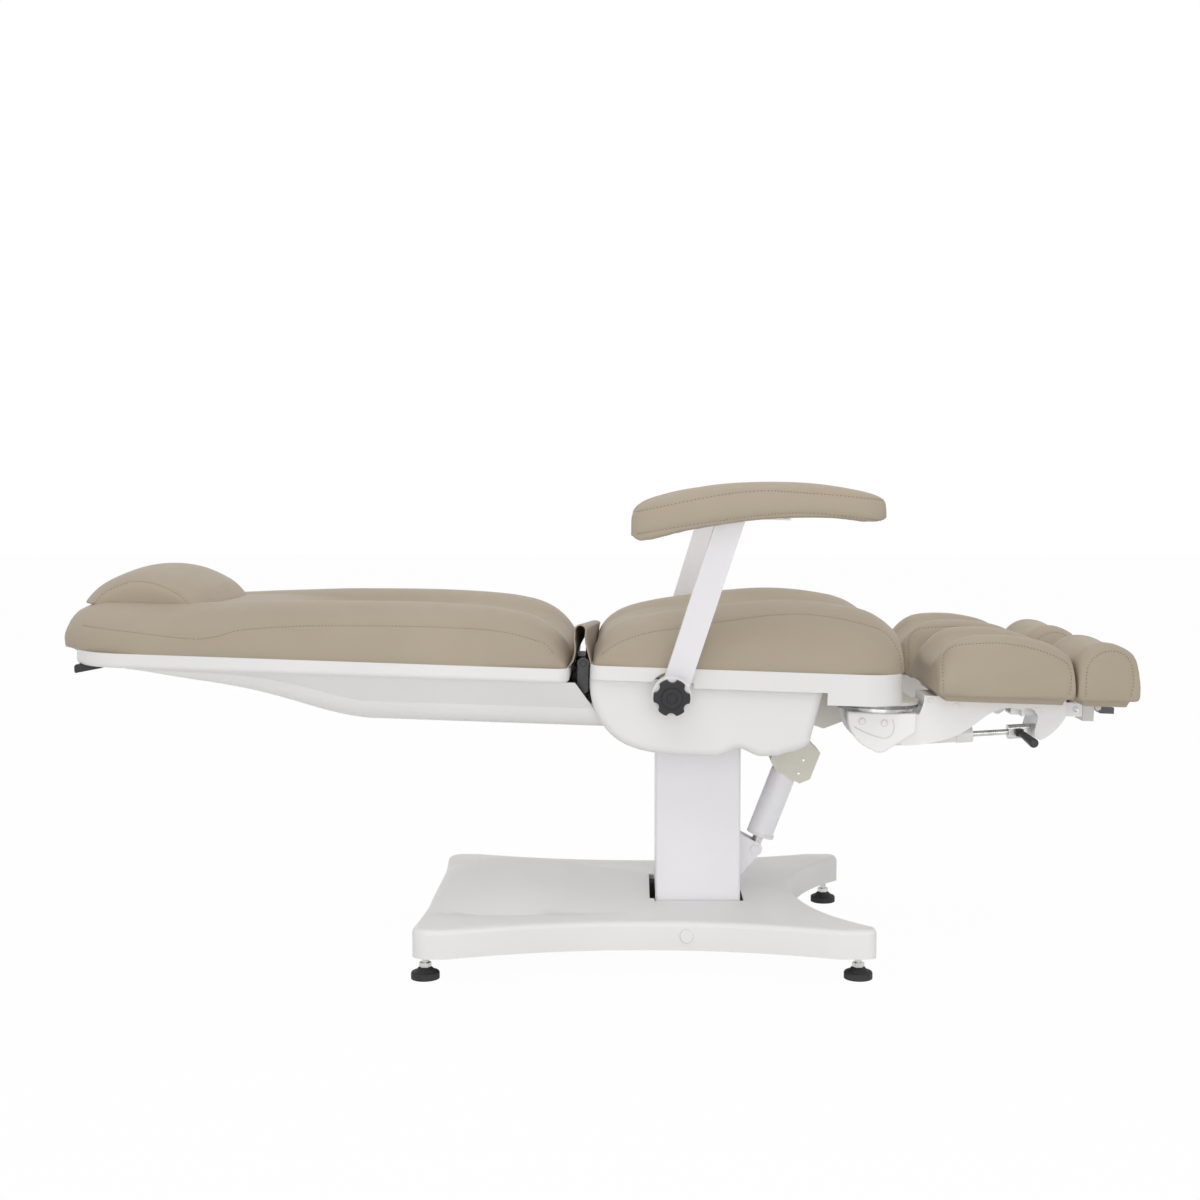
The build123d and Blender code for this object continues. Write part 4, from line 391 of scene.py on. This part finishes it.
def smooth_line(points, step):
    """Close points on a smooth line through the given ones."""
    line = []
    ends = [points[0]] + points + [points[-1]]
    for before, start, end, after in zip(ends, ends[1:], ends[2:], ends[3:]):
        leaving = start + (end - before) / 6
        arriving = end - (after - start) / 6
        count = max(2, round((end - start).length / step) + 1)
        line += interpolate_bezier(start, leaving, arriving, end, count)[:-1]
    return line + [points[-1]]


def traced(piece, points, start_y, heading, step=0.0028):
    """Places and outward directions on a piece, under a line drawn in its side view."""
    bpy.context.view_layer.update()
    found = []
    for start in smooth_line([leaned(x * MM, start_y, z * MM) for x, z in points], step):
        met, place, direction, _ = piece.ray_cast(start, Vector((0, heading, 0)))
        if met:
            found.append((place, direction))
    return found


def strands(name, lines, radius, roundness):
    """Thin round strands along lines of points."""
    data = bpy.data.curves.new(name, "CURVE")
    data.dimensions = "3D"
    data.bevel_depth = radius
    data.bevel_resolution = roundness
    data.use_fill_caps = True
    for line in lines:
        spline = data.splines.new("POLY")
        spline.points.add(len(line) - 1)
        for point, place in zip(spline.points, line):
            point.co = (*place, 1)
    piece = bpy.data.objects.new(name, data)
    bpy.context.scene.collection.objects.link(piece)
    pick(piece)
    bpy.ops.object.convert(target="MESH")
    bpy.ops.object.shade_smooth()
    return piece


# Small fittings

def settle(piece, node, slot):
    """Turned edges, a finish and a body for a small fitting."""
    pick(piece)
    bpy.ops.object.transform_apply(location=True, rotation=True, scale=True)
    apply_modifier(piece, "BEVEL", width=0.0004, segments=2, limit_method="ANGLE", angle_limit=SHARP)
    pick(piece)
    bpy.ops.object.shade_smooth_by_angle(angle=SHARP)
    paint(piece, FINISHES[slot])
    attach(piece, body_of_node(node))


def sink_socket(piece, rim, flat=0.9, left=0.5):
    """Sinks a socket into both flat ends of a disc, inside its rim."""
    pick(piece)
    bpy.ops.object.mode_set(mode="EDIT")
    bpy.ops.mesh.select_all(action="DESELECT")
    bpy.ops.object.mode_set(mode="OBJECT")
    for face in piece.data.polygons:
        face.select = abs(face.normal.z) > flat
    bpy.ops.object.mode_set(mode="EDIT")
    bpy.ops.mesh.select_mode(type="FACE")
    bpy.ops.mesh.inset(thickness=rim, use_individual=True)
    bpy.ops.object.mode_set(mode="OBJECT")
    for vertex in piece.data.vertices:
        if vertex.select:
            vertex.co.z *= left


def disc(name, node, place, radius, thickness, slot, sides=32, socket=0):
    """A turned fitting with its axis across the chair, standing half its thickness proud."""
    bpy.ops.object.select_all(action="DESELECT")
    bpy.ops.mesh.primitive_cylinder_add(vertices=sides, radius=radius, depth=thickness, location=place,
                                        rotation=(math.pi / 2, 0, 0))
    piece = bpy.context.object
    piece.name = name
    if socket:
        sink_socket(piece, radius - socket)
    settle(piece, node, slot)


def on_side(node, x, z, side, level=True):
    """The place on a node's outer face at a point of the side view, in millimetres."""
    bpy.context.view_layer.update()
    start = Vector((x * MM, side * BESIDE, z * MM))
    if level:
        start = leaned(*start)
    met, place, _, _ = rigid[node].ray_cast(start, Vector((0, -side, 0)))
    return place if met else None


def fit(name, node, points, radius, thickness, slot, sides=SIDES, level=True, socket=0):
    """Round fittings on a node's outer face. SIDE in a name stands for right and left."""
    for side_name in sides:
        for number, (x, z) in enumerate(points):
            own = node.replace("SIDE", side_name)
            place = on_side(own, x, z, SIDES[side_name], level)
            if place:
                own_name = name.replace("SIDE", side_name) + "_" + str(number)
                disc(own_name, own, place, radius, thickness, slot, socket=socket)


HUB_CAPS = [(472, 457), (511, 455)]

lengthen_tilt_tube()
# The beige rings, a little wider than the hub caps, are painted shade around each cap.
fit("SIDE_cap_rings", "SIDE_hub_cover", HUB_CAPS, 0.0062, 0.002, "bush_plastic")
fit("SIDE_cover_caps", "SIDE_hub_cover", HUB_CAPS, 0.005, 0.0044, "hub_ivory")
fit("SIDE_leg_cap", "SIDE_leg_frame", [(641, 486)], 0.006, 0.003, "leg_white")
fit("SIDE_leg_screw", "SIDE_leg_frame", [(593, 495)], 0.004, 0.003, "leg_white", socket=0.0022)
fit("SIDE_slide_screw", "SIDE_leg_frame", [(857, 485)], 0.0052, 0.004, "zinc_steel", socket=0.003)
fit("housing_screws", "tilt_motor", [(319, 346), (383, 321), (392, 346)], 0.003, 0.0024, "zinc_steel",
    sides=("right",), level=False, socket=0.0016)
fit("rim_plug", "seat_shell", [(58, 521)], 0.003, 0.0016, "cover_white", level=False)


def dress_knobs(ring_radius=0.0085, ring_depth=0.0009, washer=0.0016, lip=0.003):
    """The cap ring on each armrest knob and the pale washer behind it."""
    for side, sign in SIDES.items():
        low, high = (Vector(corner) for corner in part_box(side + "_arm_knob"))
        middle = (low + high) / 2
        face_y = high.y if sign > 0 else low.y
        back_y = low.y if sign > 0 else high.y
        bpy.ops.object.select_all(action="DESELECT")
        bpy.ops.mesh.primitive_torus_add(location=(middle.x, face_y, middle.z), rotation=(math.pi / 2, 0, 0),
                                         major_radius=ring_radius, minor_radius=ring_depth, major_segments=40,
                                         minor_segments=10)
        ring = bpy.context.object
        ring.name = side + "_knob_ring"
        settle(ring, side + "_arm_knob", "knob_plastic")
        disc(side + "_knob_washer", side + "_arm_post", (middle.x, back_y - sign * washer / 2, middle.z),
             (high.x - low.x) / 2 + lip, washer, "cover_white", sides=48)


dress_knobs()
# The swivel rings get the darker zinc copy, which is painted shade under the hub covers.
paint(rigid["swivel_rings"], SHADED_RING_STEEL)


COVER_STEP = [(458, 447), (470, 441), (490, 433), (512, 428), (522, 432), (527, 440), (528, 453), (525, 462)]


def cover_groove(sunk=0.0005):
    """The moulded step across each hub cover, shown as a thin beige bead sunk along it: a painted shade line.
    """
    for side, sign in SIDES.items():
        line = traced(rigid[side + "_hub_cover"], COVER_STEP, sign * BESIDE, -sign)
        step_shade_bead = strands(side + "_cover_groove", [[place - direction * sunk for place, direction in line]],
                       0.0011, 2)
        # The bead's beige is painted shade along the step.
        paint(step_shade_bead, FINISHES["bush_plastic"])
        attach(step_shade_bead, body_of_node(side + "_hub_cover"))


def hook_end(thickness=0.0016, proud=0.0006, width_share=0.94, height_share=0.7):
    """The coloured end face of the handset hook."""
    low, high = (Vector(corner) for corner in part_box("handset_hook"))
    size = high - low
    middle = (low + high) / 2
    bpy.ops.object.select_all(action="DESELECT")
    bpy.ops.mesh.primitive_cube_add(size=1, location=(low.x - proud, middle.y, middle.z))
    plate = bpy.context.object
    plate.name = "hook_end"
    plate.dimensions = (thickness, size.y * width_share, size.z * height_share)
    settle(plate, "handset_hook", "hook_plastic")
    paint(plate, HOOK_BLUE)


cover_groove()
hook_end()


# Upholstery

def padded_copy(node, voxel, rounds):
    """A cushion from its node: evenly meshed, with its edges eased."""
    piece = copy_of(node, node + "_upholstered")
    piece.data.remesh_voxel_size = voxel
    pick(piece)
    bpy.ops.object.voxel_remesh()
    apply_modifier(piece, "SMOOTH", factor=0.5, iterations=rounds)
    stretch_to(piece, *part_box(node))
    bpy.ops.object.shade_smooth()
    return piece


def stretch_to(piece, low, high):
    """Gives a smoothed piece its full length, width and height back."""
    places = [vertex.co for vertex in piece.data.vertices]
    now_low = [min(place[axis] for place in places) for axis in range(3)]
    now_high = [max(place[axis] for place in places) for axis in range(3)]
    for place in places:
        for axis in range(3):
            share = (place[axis] - now_low[axis]) / (now_high[axis] - now_low[axis])
            place[axis] = low[axis] + share * (high[axis] - low[axis])


def fill_out(piece, node, foot, head_end, toe_end, reach, shoulder=0.7, taper=1.5, slack=0.002):
    """Stuffs a cushion's ends so that they stand upright before they roll over."""
    low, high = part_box(node)
    for vertex in piece.data.vertices:
        height = max(0, (leveled(vertex.co).z - foot) / (leveled(high).z - foot))
        push = math.sin(min(1, height / shoulder) * math.pi / 2)
        from_head = max(0, 1 - (vertex.co.x - low.x) / reach)
        from_toe = max(0, 1 - (high.x - vertex.co.x) / reach)
        vertex.co.x -= min(head_end * push * from_head ** taper, vertex.co.x - low.x + slack)
        vertex.co.x += min(toe_end * push * from_toe ** taper, high.x + slack - vertex.co.x)


def close_slot(piece, middle, half=0.028, edge=0.008, strip=0.006, blend=0.006, depth=0.024):
    """Closes the slot for the plate in the underside of an arm pad."""
    floors = {}
    facing = [vertex.normal.z for vertex in piece.data.vertices]
    for vertex in piece.data.vertices:
        beside = abs(vertex.co.y - middle) - half
        if 0 < beside < edge:
            number = round(vertex.co.x / strip)
            floors[number] = min(floors.get(number, vertex.co.z), vertex.co.z)
    for vertex, toward in zip(piece.data.vertices, facing):
        inside = half - abs(vertex.co.y - middle)
        floor_z = floors.get(round(vertex.co.x / strip))
        if floor_z and toward < 0.5 and inside > 0 and vertex.co.z < floor_z + depth:
            vertex.co.z += (floor_z - vertex.co.z) * min(1, inside / blend)


def fill_trough(piece, amount=0.7, strip=0.004, outer_share=0.75, blend_share=0.4):
    """Stuffs the hollow along the middle of a cushion's top."""
    crests = {}
    for vertex in piece.data.vertices:
        number = round(vertex.co.x / strip)
        crests[number] = max(crests.get(number, 0), vertex.co.z)
    sides = [vertex.co.y for vertex in piece.data.vertices]
    middle, half = (min(sides) + max(sides)) / 2, (max(sides) - min(sides)) / 2
    upward = [max(0, vertex.normal.z) for vertex in piece.data.vertices]
    for vertex, facing in zip(piece.data.vertices, upward):
        across = abs(vertex.co.y - middle) / half
        share = max(0, min(1, (outer_share - across) / blend_share)) * facing
        vertex.co.z += (crests[round(vertex.co.x / strip)] - vertex.co.z) * amount * share


def inflate(piece, frames=20):
    """Lets the cover take its shape under the stuffing's pressure."""
    pick(piece)
    modifier = piece.modifiers.new("Cloth", "CLOTH")
    modifier.settings.use_pressure = True
    modifier.settings.uniform_pressure_force = 4
    modifier.settings.effector_weights.gravity = 0
    modifier.settings.quality = 3
    modifier.settings.mass = 0.3
    modifier.settings.tension_stiffness = 15
    modifier.settings.compression_stiffness = 15
    modifier.settings.bending_stiffness = 1.5
    modifier.collision_settings.use_collision = False
    modifier.point_cache.frame_start = 1
    modifier.point_cache.frame_end = frames
    for step in range(1, frames + 1):
        bpy.context.scene.frame_set(step)
    bpy.ops.object.modifier_apply(modifier=modifier.name)
    bpy.context.scene.frame_set(1)


def swell(piece, height, cap, shrink=0.002, rise=0.03, sideways=0.25):
    """Blows the cover up a little, most at the top, and not below the given height."""
    rest = [vertex.co.copy() for vertex in piece.data.vertices]
    outward = [vertex.normal.copy() for vertex in piece.data.vertices]
    for vertex, start, direction in zip(piece.data.vertices, rest, outward):
        vertex.co = start - direction * shrink
    inflate(piece)
    for vertex, start, direction in zip(piece.data.vertices, rest, outward):
        free = max(0, min(1, (leveled(start).z - height) / rise))
        move = vertex.co - start
        limit = cap * free * (sideways + (1 - sideways) * max(0, direction.z))
        if move.length > limit:
            move = move * (limit / move.length)
        vertex.co = start + move


def draw_in(piece, line, depth=0.0010, reach=0.0036):
    """Pulls the cover in along a sewn line."""
    tree = kdtree.KDTree(len(line))
    for number, (place, _) in enumerate(line):
        tree.insert(place, number)
    tree.balance()
    outward = [vertex.normal.copy() for vertex in piece.data.vertices]
    for vertex, direction in zip(piece.data.vertices, outward):
        distance = tree.find(vertex.co)[2]
        if distance < 3 * reach:
            vertex.co -= direction * depth * math.exp(-(distance / reach) ** 2)


def stitch(name, node, line, rise=0.0001, sunk=0.0024):
    """A row of stitches: short arches of thread in the sewn line."""
    arches = []
    for (start, start_out), (end, end_out) in zip(line[::2], line[1::2]):
        crown = (start + end) / 2 + (start_out + end_out) / 2 * rise
        arches.append((start - start_out * sunk, crown, end - end_out * sunk))
    row = strands(name, arches, 0.0007, 1)
    paint(row, THREAD)
    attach(row, body_of_node(node))


# Sewn lines as seen from the side, in millimetres on the level chair
SEAT_SEAM = [(13, 563), (45, 584), (95, 602), (163, 614), (231, 627), (316, 640), (384, 641), (452, 631),
             (504, 614), (527, 581), (534, 547)]
BACK_SEAM = [(-887, 578), (-793, 573), (-690, 566), (-647, 571), (-605, 583), (-503, 593), (-366, 598),
             (-247, 599), (-161, 595), (-92, 579), (-69, 562)]
PILLOW_SEAM = [(-898, 606), (-878, 631), (-842, 649), (-816, 653), (-780, 647), (-744, 631), (-722, 612)]
ARM_SEAMS = [[(59, 809), (233, 848), (350, 850), (468, 843)], [(67, 774), (200, 800), (331, 817), (468, 809)]]
CALF_SEAM = [(597, 523), (596, 552), (599, 575), (609, 591), (625, 600), (656, 605), (691, 607), (726, 604),
             (762, 597), (795, 585), (809, 576), (814, 563), (813, 535), (810, 524)]
FOOT_SEAM = [(839, 522), (840, 562), (849, 583), (865, 595), (883, 600), (900, 598), (911, 591), (918, 576),
             (919, 547), (915, 525)]


def sew(piece, node, seams, clear=0.1):
    """Seams on both side panels of a cushion."""
    low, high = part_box(node)
    for name, heading, start_y in (("right", 1, low.y - clear), ("left", -1, high.y + clear)):
        for number, points in enumerate(seams):
            line = traced(piece, points, start_y, heading)
            draw_in(piece, line)
            stitch(node + "_stitches_" + name + "_" + str(number), node, line)


ARM_PAD_Y = 0.380

# The height where a cushion's ends start to stand up, how far its head end and its foot end are
# stuffed out, and how far along the cushion that reaches
UPRIGHT_ENDS = {"back_cushion": (0.53, 0.034, 0.006, 0.11), "seat_cushion": (0.53, 0.006, 0.022, 0.1),
                "head_pillow": (0.605, 0.016, 0.016, 0.06), "calf_cushion": (0.51, 0.006, 0.026, 0.08),
                "foot_cushion": (0.51, 0.010, 0.022, 0.05)}


def cushion_plans():
    """Each cushion's swelling height and cap, fill, voxel, smoothing rounds and seams."""
    plans = {"seat_cushion": (RIM_TOP, 0.006, 0.75, 0.009, 4, [SEAT_SEAM]),
             "back_cushion": (BACK_RIM_TOP, 0.006, 0.7, 0.009, 2, [BACK_SEAM]),
             "head_pillow": (0.61, 0.004, 0.7, 0.005, 3, [PILLOW_SEAM])}
    for side in SIDES:
        plans[side + "_arm_pad"] = (0.72, 0.003, 0.8, 0.005, 3, ARM_SEAMS)
        plans[side + "_calf_cushion"] = (0.52, 0.005, 0.75, 0.006, 2, [CALF_SEAM])
        plans[side + "_foot_cushion"] = (0.52, 0.005, 0.75, 0.006, 2, [FOOT_SEAM])
    return plans


def make_cushions():
    for node, (height, cap, fill, voxel, rounds, seams) in cushion_plans().items():
        piece = padded_copy(node, voxel, rounds)
        for ending, (foot, head_end, toe_end, reach) in UPRIGHT_ENDS.items():
            if node.endswith(ending):
                fill_out(piece, node, foot, head_end, toe_end, reach)
        if node.endswith("foot_cushion"):
            fill_trough(piece)
        if node.endswith("arm_pad"):
            close_slot(piece, math.copysign(ARM_PAD_Y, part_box(node)[0].y))
            apply_modifier(piece, "SMOOTH", factor=0.5, iterations=2)
        swell(piece, height, cap)
        apply_modifier(piece, "SUBSURF", levels=1, render_levels=1)
        sew(piece, node, seams)
        pick(piece)
        bpy.ops.object.shade_smooth()
        paint(piece, FINISHES[slot_of_node(node)])
        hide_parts(node)
        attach(piece, body_of_node(node))


make_cushions()


def hinge_flap(foot=0.548, near_top=0.613, far_top=0.577, half_width=0.282, lean_back=0.012, lean_share=0.6):
    """The folded cover strip over the backrest hinge, standing higher at its right end."""
    piece = copy_of("hinge_flap", "hinge_flap_shown")
    crest = max(leveled(vertex.co).z for vertex in piece.data.vertices)
    for vertex in piece.data.vertices:
        level = leveled(vertex.co)
        if level.z > foot:
            along = (level.y + half_width) / (2 * half_width)
            top = near_top + (far_top - near_top) * along
            level.z = foot + (level.z - foot) * (top - foot) / (crest - foot)
            shift = lean_back * (1 - along) * min(1, (level.z - foot) / (crest - foot) / lean_share)
            vertex.co = leaned(level.x - shift, level.y, level.z)
    bpy.ops.object.shade_smooth_by_angle(angle=math.radians(50))
    paint(piece, FINISHES["flap_upholstery"])
    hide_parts("hinge_flap")
    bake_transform(piece)


hinge_flap()


# Camera, light and floor

def camera(place=(0.0786, -3.02, 0.8388), down=3.69, lens=48.09, shift=-0.0303):
    """The photograph's camera, beside the chair's right side and looking a little down."""
    data = bpy.data.cameras.new("camera")
    data.lens = lens
    data.sensor_width = 36
    data.shift_x = shift
    eye = bpy.data.objects.new("camera", data)
    eye.location = place
    eye.rotation_euler = (math.radians(90 - down), 0, 0)
    bpy.context.scene.collection.objects.link(eye)
    bpy.context.scene.camera = eye


def lamp(name, place, aim, size, power):
    data = bpy.data.lights.new(name, "AREA")
    data.shape = "SQUARE"
    data.size = size
    data.energy = power
    light = bpy.data.objects.new(name, data)
    light.location = place
    light.rotation_euler = (Vector(aim) - Vector(place)).to_track_quat("-Z", "Y").to_euler()
    bpy.context.scene.collection.objects.link(light)


def seen_directly(nodes, links):
    """1 for rays from the camera or off a shiny face, and 0 for the rays that only give light."""
    paths = nodes.new("ShaderNodeLightPath")
    seen = nodes.new("ShaderNodeMath")
    seen.operation = "MAXIMUM"
    links.new(paths.outputs["Is Camera Ray"], seen.inputs[0])
    links.new(paths.outputs["Is Glossy Ray"], seen.inputs[1])
    return seen.outputs[0]


def white_light(nodes, kind, strength):
    node = nodes.new(kind)
    node.inputs["Color"].default_value = (1, 1, 1, 1)
    node.inputs["Strength"].default_value = strength
    return node.outputs[0]


def mixed(nodes, links, share, first, second):
    mix = nodes.new("ShaderNodeMixShader")
    for number, source in enumerate((share, first, second)):
        links.new(source, mix.inputs[number])
    return mix.outputs[0]


def surroundings(strength=0.6):
    """A white studio: dimmer as a light than it is seen, with three soft lamps."""
    world = bpy.context.scene.world or bpy.data.worlds.new("studio")
    bpy.context.scene.world = world
    world.use_nodes = True
    nodes, links = world.node_tree.nodes, world.node_tree.links
    nodes.clear()
    lit = white_light(nodes, "ShaderNodeBackground", strength)
    plain = white_light(nodes, "ShaderNodeBackground", 1)
    out = nodes.new("ShaderNodeOutputWorld")
    links.new(mixed(nodes, links, seen_directly(nodes, links), lit, plain), out.inputs["Surface"])
    lamp("key_light", (-0.3, -2.4, 3.2), (0, 0, 0.5), 2.6, 20)
    lamp("front_light", (0.5, -4.4, 0.6), (0.2, 0, 0.35), 3.0, 52)
    lamp("top_light", (0.2, 0.6, 3.4), (0, 0, 0.4), 2.8, 15)


def floor(glow_share=0.975, grey=0.86):
    """A white floor that takes a faint shadow and fades into the surroundings."""
    bpy.ops.object.select_all(action="DESELECT")
    bpy.ops.mesh.primitive_plane_add(size=40, location=(0, 0, 0))
    ground = bpy.context.object
    ground.name = "studio_floor"
    material = bpy.data.materials.new("studio_floor")
    material.use_nodes = True
    nodes, links = material.node_tree.nodes, material.node_tree.links
    shader = nodes["Principled BSDF"]
    shader.inputs["Base Color"].default_value = (grey, grey, grey, 1)
    shader.inputs["Roughness"].default_value = 0.9
    shader.inputs["Specular IOR Level"].default_value = 0
    share = nodes.new("ShaderNodeMath")
    share.operation = "MULTIPLY"
    share.inputs[1].default_value = glow_share
    links.new(seen_directly(nodes, links), share.inputs[0])
    glow = white_light(nodes, "ShaderNodeEmission", 1)
    links.new(mixed(nodes, links, share.outputs[0], shader.outputs[0], glow),
              nodes["Material Output"].inputs["Surface"])
    ground.data.materials.append(material)


camera()
surroundings()
floor()
bpy.context.scene.view_settings.view_transform = "Standard"
